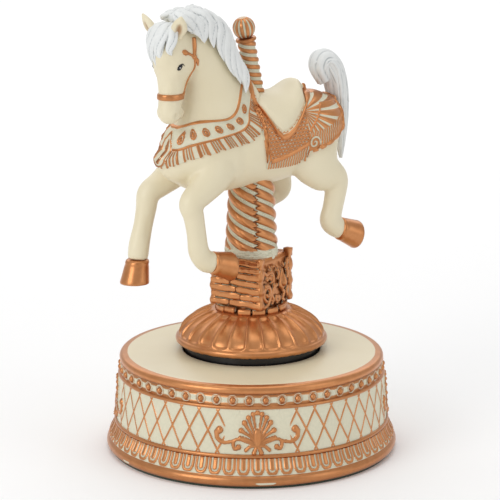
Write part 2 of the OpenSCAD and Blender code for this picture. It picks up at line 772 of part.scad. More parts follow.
module ear(side) {
    on_head() translate([-1.4, side * 5, 3.2]) rotate([side * -24, 22, side * -24])
        loft([[0, 0, 0, 2, 1.4], [-2.6, 0, 0, 2.5, 1.6], [-6, 0, 0, 1.9, 1.2], [-8.6, 0, 0, 0.4, 0.4]], 8, 1);
}

module horse_form() {
    torso();
    neck();
    head();
    for (side = [-1, 1]) ear(side);
    for (leg = [near_fore(), far_fore(), near_hind(), far_hind()]) loft(leg, 10, 1);
}

module horse_body() {
    color(CREAM) sculpted() difference() {
        horse_form();
        rotate(5) translate([0, 0, -6])
            cylinder(r = column_top_r / horse_scale, h = 6 + (column_sink + 0.01) / horse_scale, $fn = 32);
        translate(pole_seat) rotate([0, pole_lean, 7]) translate([0, 0, -1])
            cylinder(r = pole_r, h = 30, $fn = 20);
    }
}

// a hoof: a flared bell on the end of a leg
module hoof(at, tilt) {
    translate(at) rotate([0, tilt, 0]) hull() {
        cylinder(r = 4.9, h = 0.6, $fn = 24);
        translate([1.6, 0, 9.4]) cylinder(r = 6.3, h = 0.6, $fn = 24);
    }
}

module hooves() {
    color(COPPER) sculpted() difference() {
        union() {
            hoof([28.4, 12, -27.6], 262);
            hoof([49.4, -12, -28], 180);
            hoof([-37, 12, -21.2], 256);
            hoof([-11.4, -15.4, -15.6], 142);
        }
        horse_form();
    }
}

module eyes() {
    color(BLACK) sculpted() difference() {
        on_head() for (side = [-1, 1]) translate([12.6, side * 6, 4.6]) sphere(r = 1.7, $fn = 16);
        horse_form();
    }
}

// crest of hair, from the poll to the withers, with a fall of locks on the near side
module hair() {
    loft([
        [43.6, 4.6, 74, 3, 2], [38, 4.6, 76.4, 5, 3.6], [29, 4.4, 75.4, 6, 4], [20.5, 4, 69.8, 6.6, 4.6],
        [13.6, 3.6, 59.8, 6.6, 4.6], [9.2, 3.4, 50, 6, 4], [7.6, 3, 42.6, 3.6, 2.6]
    ], 12, 2);
    loft([
        [29, 7.6, 70, 3, 5], [21.6, 8.8, 62, 3, 6.6], [15.4, 9.6, 52, 2.8, 6.2], [12, 9.6, 44, 2, 3]
    ], 8, 2);
}

module mane() {
    color(WHITE) sculpted() difference() {
        hair();
        horse_form();
    }
}

module forelock() {
    color(WHITE) sculpted() difference() {
        on_head() loft([
            [-7.2, 0, 5, 4.4, 3], [-3, 0, 9, 5, 2.6], [3, 0, 10.4, 4.4, 2], [8, 0, 10, 2.4, 1.2]
        ], 8, 2);
        horse_form();
    }
}

module tail() {
    color(WHITE) sculpted() difference() {
        loft([
            [-38.6, 0, 41, 3, 4], [-35, 0, 48, 4.6, 4.4], [-37, 0, 51.4, 5, 4], [-41.4, 0, 47, 5.4, 4.6],
            [-44.6, 0, 38, 5, 4.2], [-46.6, 0, 26, 4.4, 3.4], [-47, 0, 13, 3.2, 2.4], [-47.4, 0, 5, 0.8, 0.8]
        ], 10, 2);
        torso(tack_t);
        horse_form();
    }
}

module bridle() {
    strap_r = 0.9;
    color(COPPER) sculpted() difference() {
        intersection() {
            head(tack_t * 0.8);
            on_head() union() {
                translate([23.4, -12, -14]) cube([2.2, 24, 28]);
                hull() for (x = [8, 24.4]) translate([x, 0, -0.19 * (24.4 - x) - 0.6]) rotate([90, 0, 0])
                    cylinder(r = strap_r, h = 30, center = true, $fn = 12);
            }
        }
        horse_form();
    }
}

// breast collar: a band round the foot of the neck that dips over the chest
module breast_collar() {
    color(COPPER) sculpted() difference() {
        intersection() {
            union() {
                neck(tack_t);
                torso(tack_t);
            }
            translate([22, 0, 33]) rotate([0, 38, 0]) translate([-20, -30, -6.4]) cube([60, 60, 12.8]);
        }
        horse_form();
        hair();
    }
}

// cloth under the saddle, with its tabbed corner on the rump
module saddle_cloth() {
    color(COPPER) sculpted() difference() {
        intersection() {
            torso(tack_t);
            rotate([90, 0, 0]) translate([0, 0, -30]) linear_extrude(60) polygon([
                [1, 45], [0, 24], [-3, 9], [-21, 12], [-20, 18], [-27, 17], [-38, 22],
                [-39.5, 30], [-36, 42], [-20, 46]
            ]);
        }
        horse_form();
        pole_space();
    }
}

// seat with its cantle
module saddle() {
    color(CREAM) sculpted() difference() {
        loft([
            [2, 0, 37, 5, 2.4], [-8, 0, 36.4, 9, 3.2], [-15, 0, 38, 11, 4.8], [-21, 0, 40.2, 11.6, 6],
            [-26, 0, 39.4, 10.4, 5.4], [-29.4, 0, 38.4, 6, 2]
        ], 12, 2);
        torso(tack_t);
        horse_form();
        pole_space();
    }
}

module pole_space() {
    translate(pole_seat) rotate([0, pole_lean, 0]) translate([0, 0, -3])
        cylinder(r = pole_r + 0.2, h = 50, $fn = 24);
}

base_shell();
felt_ring();
bottom_cover();
cover_screws();
bedplate();
movement_screws();
comb();
comb_screws();
governor_bracket();
winding_key();
key_arbor();
ratchet_wheel();
click();
mainspring();
spring_barrel();
barrel_lid();
crown_wheel();
output_spindle();
pinned_cylinder();
cylinder_arbor();
cylinder_pinion();
cylinder_gear();
relay_arbor();
relay_pinion();
worm_wheel();
governor_worm();
governor_fan();
turntable_disc();
disc_screws();
pedestal_dome();
plinth();
lower_column();
horse_body();
hooves();
eyes();
mane();
forelock();
tail();
bridle();
breast_collar();
saddle_cloth();
saddle();
upper_pole();
pole_collar();
finial_ball();
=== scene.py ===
# Carousel horse music box: the looks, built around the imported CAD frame.
# Lengths are in metres; mm() turns the millimetres that the makers work in into metres.
import math

import bmesh
import bpy
import numpy as np
from mathutils import Matrix, Vector
from mathutils.bvhtree import BVHTree


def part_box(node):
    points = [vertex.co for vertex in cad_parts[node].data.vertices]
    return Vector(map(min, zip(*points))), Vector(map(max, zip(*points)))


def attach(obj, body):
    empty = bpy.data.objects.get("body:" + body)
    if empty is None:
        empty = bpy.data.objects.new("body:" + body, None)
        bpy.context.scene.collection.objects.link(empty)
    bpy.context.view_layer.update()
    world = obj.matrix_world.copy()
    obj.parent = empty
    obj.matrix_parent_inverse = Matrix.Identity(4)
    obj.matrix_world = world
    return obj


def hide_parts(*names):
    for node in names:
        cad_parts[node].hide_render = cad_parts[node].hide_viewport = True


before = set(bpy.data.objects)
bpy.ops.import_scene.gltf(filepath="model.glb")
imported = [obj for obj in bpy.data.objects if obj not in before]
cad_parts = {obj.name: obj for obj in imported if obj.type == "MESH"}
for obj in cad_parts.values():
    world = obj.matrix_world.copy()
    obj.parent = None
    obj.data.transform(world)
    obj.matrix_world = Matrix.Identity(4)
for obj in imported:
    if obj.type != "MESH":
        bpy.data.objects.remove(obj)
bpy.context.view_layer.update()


def mm(value):
    return value * 0.001


# ---------------------------------------------------------------------------------------------
# Stage and camera: a wide pale floor, soft boxes to the left, to the right and above, and a wash
# of light on the floor behind, as in a product studio. The camera looks slightly down.
# ---------------------------------------------------------------------------------------------
scene = bpy.context.scene
scene.render.film_transparent = False
scene.view_settings.view_transform = "Standard"
camera_turn, camera_rise = math.radians(-2.5), math.radians(13.41)
camera_far, camera_lens, camera_shift = 1.0, 169.2, -0.0028
look_at = Vector((0, 0, mm(86)))


def linear(hex_colour):
    """An sRGB hex colour as linear RGBA."""
    parts = [int(hex_colour[i:i + 2], 16) / 255 for i in (0, 2, 4)]
    return tuple(c / 12.92 if c <= 0.04045 else ((c + 0.055) / 1.055) ** 2.4 for c in parts) + (1.0,)


def node(tree, kind, settings=None, **inputs):
    """Adds a node, sets its properties, and fills or links its inputs, by name or, as i6, by number."""
    made = tree.nodes.new(kind)
    for name, value in (settings or {}).items():
        setattr(made, name, value)
    for name, value in inputs.items():
        numbered = name[0] == "i" and name[1:].isdigit()
        socket = made.inputs[int(name[1:]) if numbered else name.replace("_", " ")]
        if isinstance(value, bpy.types.NodeSocket):
            tree.links.new(value, socket)
        else:
            socket.default_value = value
    return made


def look_from(azimuth, elevation, distance, target, lens, shift):
    """The camera, on a circle about the target; azimuth 0 looks along +Y."""
    data = bpy.data.cameras.new("camera")
    camera = bpy.data.objects.new("camera", data)
    scene.collection.objects.link(camera)
    data.lens = lens
    data.shift_x = shift
    data.clip_end = 20
    back = Vector((
        math.sin(azimuth) * math.cos(elevation), -math.cos(azimuth) * math.cos(elevation),
                   math.sin(elevation)))
    camera.location = target + back * distance
    camera.rotation_euler = back.to_track_quat("Z", "Y").to_euler()
    scene.camera = camera


look_from(camera_turn, camera_rise, camera_far, look_at, camera_lens, camera_shift)


def new_material(name):
    """A material with its node tree and its shader."""
    material = bpy.data.materials.new(name)
    material.use_nodes = True
    return material, material.node_tree, material.node_tree.nodes["Principled BSDF"]


def blend(tree, factor, first, second):
    """Colour that runs from first to second."""
    return node(tree, "ShaderNodeMix", {"data_type": "RGBA"}, Factor=factor, i6=first, i7=second).outputs[2]


def noise(tree, place, scale, detail, **more):
    return node(tree, "ShaderNodeTexNoise", Vector=place, Scale=scale, Detail=detail, **more).outputs["Fac"]


def attribute(tree, name):
    return node(tree, "ShaderNodeAttribute", {"attribute_name": name}).outputs["Fac"]


def stage_sheet():
    """A wide flat floor that fills the whole view."""
    bm = bmesh.new()
    bmesh.ops.create_grid(bm, x_segments=1, y_segments=1, size=6.0)
    mesh = bpy.data.meshes.new("studio_sheet")
    bm.to_mesh(mesh)
    bm.free()
    sheet = bpy.data.objects.new("studio_sheet", mesh)
    scene.collection.objects.link(sheet)
    paper, _, shader = new_material("studio_paper")
    shader.inputs["Base Color"].default_value = linear("fbfbfb")
    shader.inputs["Roughness"].default_value = 0.95
    mesh.materials.append(paper)


def soft_box(name, place, aim, size, power):
    data = bpy.data.lights.new(name, "AREA")
    data.shape = "RECTANGLE"
    data.size, data.size_y = size
    data.energy = power
    lamp = bpy.data.objects.new(name, data)
    lamp.location = place
    lamp.rotation_euler = (Vector(place) - Vector(aim)).to_track_quat("Z", "Y").to_euler()
    scene.collection.objects.link(lamp)


stage_sheet()
middle = (0, 0, mm(90))
soft_box("left_soft_box", (-0.75, -0.75, 0.55), middle, (0.6, 0.8), 3.9)
soft_box("right_soft_box", (0.85, -0.55, 0.45), middle, (0.5, 0.8), 1.0)
soft_box("top_soft_box", (0, 0.1, 1.1), middle, (0.9, 0.9), 2.6)
soft_box("floor_wash", (0, 1.3, 0.8), (0, 1.3, 0), (1.8, 1.3), 6.5)
world = bpy.data.worlds.new("studio")
scene.world = world
world.use_nodes = True
world.node_tree.nodes["Background"].inputs["Color"].default_value = (1, 1, 1, 1)
world.node_tree.nodes["Background"].inputs["Strength"].default_value = 0.62


# ---------------------------------------------------------------------------------------------
# Base: one cream resin casting with copper dry-brushed relief. Its drum carries a foot moulding,
# a band of tongues, a lattice with four palmettes, a row of beads and a rolled rim.
# It is turned from its section and the relief is pressed out of the turned wall.
# ---------------------------------------------------------------------------------------------
CREAM = "e6dcc0"
CREAM_CLOUD = "dfd3b2"
SAGE_WASH = "c9c8b0"
SAGE_PALE = "e2dcc4"
TAN = "a97f56"
COPPER = "c4814e"
# The light copper below is the colour of painted highlights on the copper.
COPPER_HIGHLIGHT = "eeb07a"
# The dark brown below is the colour of painted shade on the copper.
COPPER_SHADE = "6e3d20"


def resin_paint():
    """Satin acrylic paint on cast polyresin: even, soft, faintly mottled, with tiny casting bumps.
    Attributes say where it goes: copper is metallic paint, worn at its edges; wash is the grey-green
    left in the hollows; tan is brushed in the ears; shade is painted shade, which darkens the copper
    most in its crevices and at the edges of its relief."""
    material, tree, shader = new_material("satin_painted_resin")
    place = node(tree, "ShaderNodeTexCoord").outputs["Object"]
    cloud = noise(tree, place, 60.0, 3.0)
    speck = noise(tree, place, 900.0, 4.0)
    drift = noise(tree, place, 260.0, 5.0, Roughness=0.65)
    cream = blend(tree, cloud, linear(CREAM), linear(CREAM_CLOUD))
    sage = blend(tree, speck, linear(SAGE_WASH), linear(SAGE_PALE))
    ground = blend(tree, attribute(tree, "wash"), cream, sage)
    warm = blend(tree, attribute(tree, "tan"), ground, linear(TAN))
    worn = node(tree, "ShaderNodeMath", {"operation": "MULTIPLY_ADD"}, i0=drift, i1=0.5, i2=-0.25)
    edge = node(tree, "ShaderNodeMath", {"operation": "ADD"}, i0=attribute(tree, "copper"),
                i1=worn.outputs[0])
    cover = node(
        tree, "ShaderNodeMapRange", Value=edge.outputs[0], From_Min=0.38, From_Max=0.56).outputs["Result"]
    mixed = node(
        tree, "ShaderNodeMath", {"operation": "MULTIPLY_ADD", "use_clamp": True}, i0=drift, i1=0.7, i2=-0.2)
    # Copper mottled at random towards a lighter copper: the paint's own uneven tone, with painted highlight
    # in its lightest patches.
    metal = blend(tree, mixed.outputs[0], linear(COPPER), linear(COPPER_HIGHLIGHT))
    # Painted shade: the shade attribute turns the copper towards a dark brown in crevices and at relief
    # edges.
    deep = blend(tree, attribute(tree, "shade"), metal, linear(COPPER_SHADE))
    colour = blend(tree, cover, warm, deep)
    metallic = node(tree, "ShaderNodeMath", {"operation": "MULTIPLY"}, i0=cover, i1=0.82)
    rough = node(
        tree, "ShaderNodeMapRange", Value=cover, To_Min=0.42, To_Max=0.3).outputs["Result"]
    bump = node(tree, "ShaderNodeBump", Height=speck, Strength=0.12, Distance=mm(0.15))
    tree.links.new(colour, shader.inputs["Base Color"])
    tree.links.new(metallic.outputs[0], shader.inputs["Metallic"])
    tree.links.new(rough, shader.inputs["Roughness"])
    tree.links.new(bump.outputs["Normal"], shader.inputs["Normal"])
    shader.inputs["Coat Weight"].default_value = 0.12
    shader.inputs["Coat Roughness"].default_value = 0.3
    return material


RESIN = resin_paint()


def finish_piece(name, bm, body, replaced=(), material=RESIN, paint=None, smooth=True):
    """Turns a bmesh into a piece that rides on a body. paint gives copper, wash and shade for each vertex."""
    mesh = bpy.data.meshes.new(name)
    bm.to_mesh(mesh)
    bm.free()
    piece = bpy.data.objects.new(name, mesh)
    scene.collection.objects.link(piece)
    mesh.materials.append(material)
    mesh.shade_smooth() if smooth else mesh.shade_flat()
    if paint is not None:
        for title, values in paint.items():
            layer = mesh.attributes.new(title, "FLOAT", "POINT")
            layer.data.foreach_set("value", np.broadcast_to(np.asarray(values, dtype=np.float32),
                                                            len(mesh.vertices)).copy())
    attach(piece, body)
    if replaced:
        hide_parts(*replaced)
    return piece


def sheet_of(bm, columns, rows, shape):
    """A grid whose corners run from 0 to 1 along u and v, moved by shape(u, v) to points in millimetres."""
    made = bmesh.ops.create_grid(bm, x_segments=columns, y_segments=rows, size=0.5)["verts"]
    uv = np.array([v.co[:2] for v in made]) + 0.5
    for vert, point in zip(made, (shape(uv[:, 0], uv[:, 1]) * 0.001).tolist()):
        vert.co = point
    return made


def turned(section, steps):
    """A section of (radius, height) in millimetres, turned about the Z axis in a number of steps."""
    section = np.array(section, dtype=float)
    last = len(section) - 1

    def place(u, v):
        r = np.interp(v * last, np.arange(last + 1), section[:, 0])
        z = np.interp(v * last, np.arange(last + 1), section[:, 1])
        return np.stack([r * np.cos(u * math.tau), r * np.sin(u * math.tau), z], axis=1)

    bm = bmesh.new()
    made = sheet_of(bm, steps, last, place)
    bmesh.ops.remove_doubles(bm, verts=made, dist=mm(0.004))
    bmesh.ops.recalc_face_normals(bm, faces=bm.faces)
    return bm


def places(bm):
    return np.array([v.co for v in bm.verts]) * 1000


def press_out(bm, height_mm):
    """Moves each vertex along its normal by its height in millimetres."""
    bm.normal_update()
    for vert, rise in zip(bm.verts, height_mm):
        vert.co += vert.normal * mm(float(rise))


def ramp(value, low, high):
    t = np.clip((value - low) / (high - low), 0, 1)
    return t * t * (3 - 2 * t)


def rounded(value, half_width):
    """Height of a half-round rib at a distance from its middle."""
    return np.sqrt(np.clip(1 - (value / half_width) ** 2, 0, 1))


def line_points(points, count=12):
    """A smooth curve through points, as an array."""
    points = np.array(points, dtype=float)
    padded = np.vstack([2 * points[0] - points[1], points, 2 * points[-1] - points[-2]])
    out = []
    for a, b, c, d in zip(padded, padded[1:], padded[2:], padded[3:]):
        for t in np.linspace(0, 1, count, endpoint=False):
            out.append(0.5 * (2 * b + (c - a) * t + (2 * a - 5 * b + 4 * c - d) * t * t
                              + (3 * b - a - 3 * c + d) * t ** 3))
    out.append(points[-1])
    return np.array(out)


def stroke(across, up, points, start, end):
    """Height field of a rounded stroke along a curve whose half width runs from start to end."""
    curve = line_points(points)
    best = np.zeros(across.shape)
    near = (np.abs(across - curve[:, 0].mean()) < 25)
    for i, (x, y) in enumerate(curve):
        half = start + (end - start) * i / (len(curve) - 1)
        distance = np.hypot(across[near] - x, up[near] - y)
        best[near] = np.maximum(best[near], rounded(distance, half) * min(1.0, half / 0.9))
    return best


foot_low, foot_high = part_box("felt_ring")[1][2] * 1000, 5.8
tongue_top, line_top, lattice_top = 12.3, 13.9, 32.7
strip_top, bead_top, rim_top = 33.9, 38.7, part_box("base_shell")[1][2] * 1000
foot_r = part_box("base_shell")[1][0] * 1000
wall_low, wall_high = foot_r - 4.2, foot_r - 5.8
bead_wall = wall_high - 0.5
top_edge = foot_r - 7.2
hole_r = 29.4
lid_t = 4.4


def arc_points(cx, cz, r, start, end, count=8):
    return [(cx + r * math.cos(math.radians(a)), cz + r * math.sin(math.radians(a)))
            for a in np.linspace(start, end, count)]


def drum_foot():
    """Foot moulding and the flared band of tongues."""
    tongues = 64
    section = [(foot_r - 8, foot_low), (foot_r - 2.2, foot_low)]
    section += arc_points(foot_r - 2.4, foot_low + 2.5, 2.4, -75, 62, 12)
    flare = [(foot_r - 1.5 - 2.6 * ramp(t, 0, 1) ** 0.8, foot_high + (tongue_top - foot_high) * t)
             for t in np.linspace(0, 1, 26)]
    section += flare
    section += arc_points(wall_low, (tongue_top + line_top) / 2, (line_top - tongue_top) / 2 + 0.1, -80, 80,
                          7)
    bm = turned(section, 1024)
    p = places(bm)
    angle = np.arctan2(p[:, 1], p[:, 0])
    z = p[:, 2]
    width = math.tau * foot_r / tongues
    phase = ((angle / math.tau * tongues + 0.5) % 1 - 0.5) * width
    in_band = ramp(z, foot_high - 0.1, foot_high + 0.2) * (1 - ramp(z, tongue_top - 0.2, tongue_top))
    centre = foot_high + 2.6
    drop = np.where(z < centre, (z - centre), 0)
    reach = np.hypot(phase, drop)
    hoop = rounded(reach - 2.2, 0.72)
    tongue = ramp(1.25 - reach, 0, 0.4)
    press_out(bm, in_band * (0.75 * hoop + 0.85 * tongue))
    foot = (z < foot_high - 0.1) | (z > tongue_top - 0.1)
    rng = np.random.default_rng(5)
    copper = np.where(foot, 0.9, in_band * np.maximum(ramp(hoop, 0.25, 0.7), ramp(tongue, 0.35, 0.8)) * 0.9)
    # Painted shade: the copper darkens where its cover thins at the edges of the relief, and a little over
    # the foot moulding.
    shade = np.where(foot, 0.10, 0.0) + 0.5 * (1 - copper) + 0.02 * rng.random(len(z))
    for at, size in ((-1.52, 5.0), (-2.62, 3.0), (1.1, 3.5)):
        arc = (angle - at) * foot_r
        copper = np.where(foot & (z < 3.4), copper * ramp(np.hypot(arc / size, (z - 2.6) / 0.55), 0.7, 1.1),
                          copper)
    paint = {"copper": copper, "wash": np.ones(len(z)) * (z < tongue_top), "shade": np.clip(shade, 0, 1)}
    finish_piece("base_foot", bm, "base", ("base_shell",), paint=paint)


PALMETTE_RIGHT = [
    # each stroke: points across and up from the foot of the fan, half width at start and end
    ([(0.8, 1.6), (3.4, 4.2), (6.2, 6.0)], 0.55, 0.85),
    ([(0.7, 2.0), (2.8, 5.4), (5.0, 8.8)], 0.5, 0.85),
    ([(0.5, 2.4), (2.0, 6.8), (3.5, 10.8)], 0.5, 0.8),
    ([(0.2, 3.0), (0.9, 7.6), (1.7, 12.2)], 0.45, 0.75),
    ([(0.9, 0.8), (3.8, 2.6), (7.2, 3.4)], 0.55, 0.9),
    ([(0.9, 0.2), (4.2, 1.6), (8.2, 2.8), (10.0, 1.2), (9.4, -1.2), (7.6, -0.8)], 0.65, 0.9),
    ([(8.0, 3.0), (11.2, 1.6), (14.4, 1.4), (16.6, 3.0), (16.9, 5.6)], 0.65, 1.25),
    ([(1.0, 0.0), (3.0, -0.2), (4.8, -1.8)], 0.7, 0.9),
    ([(0.5, -0.6), (1.6, -3.0)], 0.8, 1.0),
]
PALMETTE_BEADS = [(6.8, 6.4, 1.25), (5.4, 9.6, 1.25), (3.8, 11.8, 1.2), (1.9, 13.2, 1.15), (0.0, 13.8, 1.15),
                  (15.8, 6.4, 1.7), (7.8, -0.4, 1.2), (1.5, -3.4, 1.0)]


def drum_wall():
    """Lattice band with a palmette on each quarter."""
    diamonds = 44
    rows = 58
    section = [(wall_low + (wall_high - wall_low) * t, line_top - 0.2 + (lattice_top - line_top + 0.4) * t)
               for t in np.linspace(0, 1, rows)]
    bm = turned(section, 1100)
    p = places(bm)
    angle = np.arctan2(p[:, 1], p[:, 0]) + math.pi / 2
    z = p[:, 2]
    period = math.tau * wall_low / diamonds
    arc = angle * wall_low
    tall = 15.9
    lift = (z - line_top - 1.6) / tall * period
    one = ((arc + lift) / period + 0.5) % 1 - 0.5
    two = ((arc - lift) / period + 0.5) % 1 - 0.5
    slope = math.cos(math.atan2(period, tall))
    rib = np.maximum(rounded(one * period * slope, 0.55), rounded(two * period * slope, 0.55))
    quarter = (angle + math.pi / 4) % (math.pi / 2) - math.pi / 4
    across = quarter * wall_low
    up = z - 17.6
    fan = np.zeros(len(z))
    for points, start, end in PALMETTE_RIGHT:
        fan = np.maximum(fan, stroke(np.abs(across), up, points, start, end))
    for x, y, r in PALMETTE_BEADS:
        fan = np.maximum(fan, 1.25 * rounded(np.hypot(np.abs(across) - x, up - y), r))
    oval = rounded(np.hypot(across / 1.5, (up - 3.4) / 4.2), 1.0)
    groove = rounded(np.hypot(across / 0.75, (up - 3.4) / 3.0), 1.0)
    fan = np.maximum(fan, 1.2 * oval) - 0.35 * groove * (oval > 0)
    near_fan = (np.abs(across) < 17.5) & (up < 15.6)
    halo = np.clip(1 - np.hypot(across / 18.5, (up - 4.0) / 12.5), 0, 1)
    lattice = rib * np.where(near_fan, 1 - ramp(halo, 0.02, 0.3), 1.0)
    edge = 1 - ramp(np.abs(z - (line_top + lattice_top) / 2), 9.0, 9.6)
    press_out(bm, edge * np.maximum(0.42 * lattice, 1.15 * np.clip(fan, 0, 2)))
    bare = ramp(np.abs(across), 11.5, 15.5)
    copper = np.maximum(ramp(rib, 0.35, 0.75) * edge * np.where(halo > 0, bare, 1) * 0.86,
                        ramp(fan, 0.2, 0.55) * 0.92)
    # Painted shade: darker copper on the low sides of the palmette and on the flanks of the lattice ribs.
    fan_shade = 0.35 * ramp(fan, 0.0, 0.4) * (1 - ramp(fan, 0.5, 0.9))
    rib_shade = 0.25 * (1 - ramp(rib, 0.5, 1.0)) * (fan < 0.1)
    shade = fan_shade + rib_shade
    finish_piece("base_lattice", bm, "base", ("base_shell",),
                 paint={"copper": copper, "wash": 0.85, "shade": np.clip(shade, 0, 1)})


def drum_top():
    """Copper strip, bead channel, rolled rim and the plain cream lid with its opening."""
    section = arc_points(wall_high - 0.1, (lattice_top + strip_top) / 2,
                         (strip_top - lattice_top) / 2 + 0.15, -85, 85, 7)
    section += [(bead_wall, strip_top + 0.1), (bead_wall - 0.15, (strip_top + bead_top) / 2),
                (bead_wall, bead_top)]
    section += arc_points(top_edge - 0.55, rim_top - 3.0, 1.9, -60, 78, 12)
    section += [(top_edge - 1.6, rim_top - 1.15), (top_edge - 2.6, rim_top - 1.0)]
    section += [(hole_r + 1 + (top_edge - 3 - hole_r - 1) * (1 - t), rim_top - 0.9 + 0.9 * ramp(t, 0, 1))
                for t in np.linspace(0.1, 1, 8)]
    section += arc_points(hole_r + 0.6, rim_top - 0.6, 0.6, 90, 180, 5)
    section += [(hole_r, rim_top - lid_t), (hole_r + 8, rim_top - lid_t - 0.4),
                (top_edge - 6, rim_top - lid_t - 1)]
    section += [(top_edge - 6, foot_low + 12), (foot_r - 9, foot_low + 11), (foot_r - 9, foot_low)]
    bm = turned(section, 512)
    p = places(bm)
    radius = np.hypot(p[:, 0], p[:, 1])
    z = p[:, 2]
    strip = (z < strip_top + 0.15) & (radius > bead_wall - 1)
    rim = (z > bead_top - 0.1) & (radius > top_edge - 1.75)
    copper = np.where(strip | rim, 0.93, 0.0)
    # Painted shade: the copper strip under the beads is set a little darker than the rim.
    finish_piece("base_lid", bm, "base", ("base_shell",),
                 paint={"copper": copper,
                        "wash": np.where((z < bead_top) & (radius > bead_wall - 1), 1.0, 0.0),
                        "shade": np.where(strip, 0.15, 0.05)})


def placed(bm, matrix):
    bmesh.ops.transform(bm, matrix=matrix, verts=bm.verts)
    return bm


def gather(parts):
    """Several forms as one mesh."""
    whole = bmesh.new()
    for part in parts:
        mesh = bpy.data.meshes.new("part")
        part.to_mesh(mesh)
        part.free()
        whole.from_mesh(mesh)
        bpy.data.meshes.remove(mesh)
    return whole


def drum_beads():
    """Fifty-two domed beads, each in a faint cast ring that the copper has mostly missed."""
    count = 52
    beads, rings = [], []
    for i in range(count):
        turn = Matrix.Rotation(math.tau * (i + 0.5) / count, 4, "Z")
        seat = turn @ Matrix.Translation((mm(bead_wall - 0.1), 0, mm((strip_top + bead_top) / 2)))
        bead = bmesh.new()
        bmesh.ops.create_icosphere(bead, subdivisions=3, radius=mm(1.35), matrix=seat)
        beads.append(bead)
        ring = turned(arc_points(2.05, 0, 0.26, 0, 360, 9), 28)
        rings.append(placed(ring, seat @ Matrix.Rotation(math.pi / 2, 4, "Y")))
    copper = np.repeat([0.95, 0.44], [sum(len(bm.verts) for bm in group) for group in (beads, rings)])
    finish_piece("base_beads", gather(beads + rings), "base", ("base_shell",),
                 paint={"copper": copper, "wash": 1.0, "shade": 0.1})


drum_foot()
drum_wall()
drum_top()
drum_beads()


# ---------------------------------------------------------------------------------------------
# Pedestal: one copper-painted resin casting of a gadrooned dome, a square plinth with stacked
# planks on two faces and scrolled foliage on the others, and a fluted rope column.
# ---------------------------------------------------------------------------------------------
def sized(stations, u):
    """Station values at fractions u of the way along, on a smooth curve through them."""
    stations = np.array(stations, dtype=float)
    padded = np.vstack([2 * stations[0] - stations[1], stations, 2 * stations[-1] - stations[-2]])
    at = np.clip(u, 0, 1) * (len(stations) - 1)
    i = np.minimum(at.astype(int), len(stations) - 2)
    t = (at - i)[:, None]
    a, b, c, d = (padded[i + k] for k in range(4))
    return 0.5 * (2 * b + (c - a) * t + (2 * a - 5 * b + 4 * c - d) * t ** 2 + (3 * b - a - 3 * c + d)
                  * t ** 3)


def unit(vectors):
    return vectors / np.maximum(np.linalg.norm(vectors, axis=1, keepdims=True), 1e-9)


def tube(bm, stations, side=(0, 1, 0), around=24, along=60, shape=None, faces_out=None):
    """A closed form through stations of (x, y, z, half width, half depth). The width lies along side.
    shape(turn, u) scales the section; faces_out(points) gives the directions that the depth takes."""
    stations = np.array(stations, dtype=float)

    def place(u, v):
        middle = sized(stations, u)
        step = 0.004
        along_it = unit(sized(stations[:, :3], np.minimum(u + step, 1))
                        - sized(stations[:, :3], np.maximum(u - step, 0)))
        if faces_out is None:
            ways = np.broadcast_to(np.array(side, dtype=float), along_it.shape)
            across = unit(ways - along_it * np.sum(ways * along_it, axis=1, keepdims=True))
            deep = np.cross(along_it, across)
        else:
            out = faces_out(middle[:, :3])
            deep = unit(out - along_it * np.sum(out * along_it, axis=1, keepdims=True))
            across = np.cross(deep, along_it)
        turn = v * math.tau
        grow = np.where((u < 1e-4) | (u > 1 - 1e-4), 0.0, 1.0)
        if shape is not None:
            grow = grow * shape(turn, u)
        wide = np.maximum(middle[:, 3], 0.1) * grow * np.cos(turn)
        thick = np.maximum(middle[:, 4], 0.1) * grow * np.sin(turn)
        return middle[:, :3] + across * wide[:, None] + deep * thick[:, None]

    made = sheet_of(bm, along, around, place)
    bmesh.ops.remove_doubles(bm, verts=made, dist=mm(0.003))


def mould(bm):
    """Points the faces outwards once the pieces of a bmesh are in place."""
    bmesh.ops.recalc_face_normals(bm, faces=bm.faces)
    return bm


dome_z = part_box("pedestal_dome")[0][2] * 1000
dome_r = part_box("pedestal_dome")[1][0] * 1000
plinth_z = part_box("plinth")[0][2] * 1000
plinth_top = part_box("plinth")[1][2] * 1000
column_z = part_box("lower_column")[0][2] * 1000
column_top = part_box("lower_column")[1][2] * 1000
plinth_w = 23.6
plinth_turn = math.radians(235)


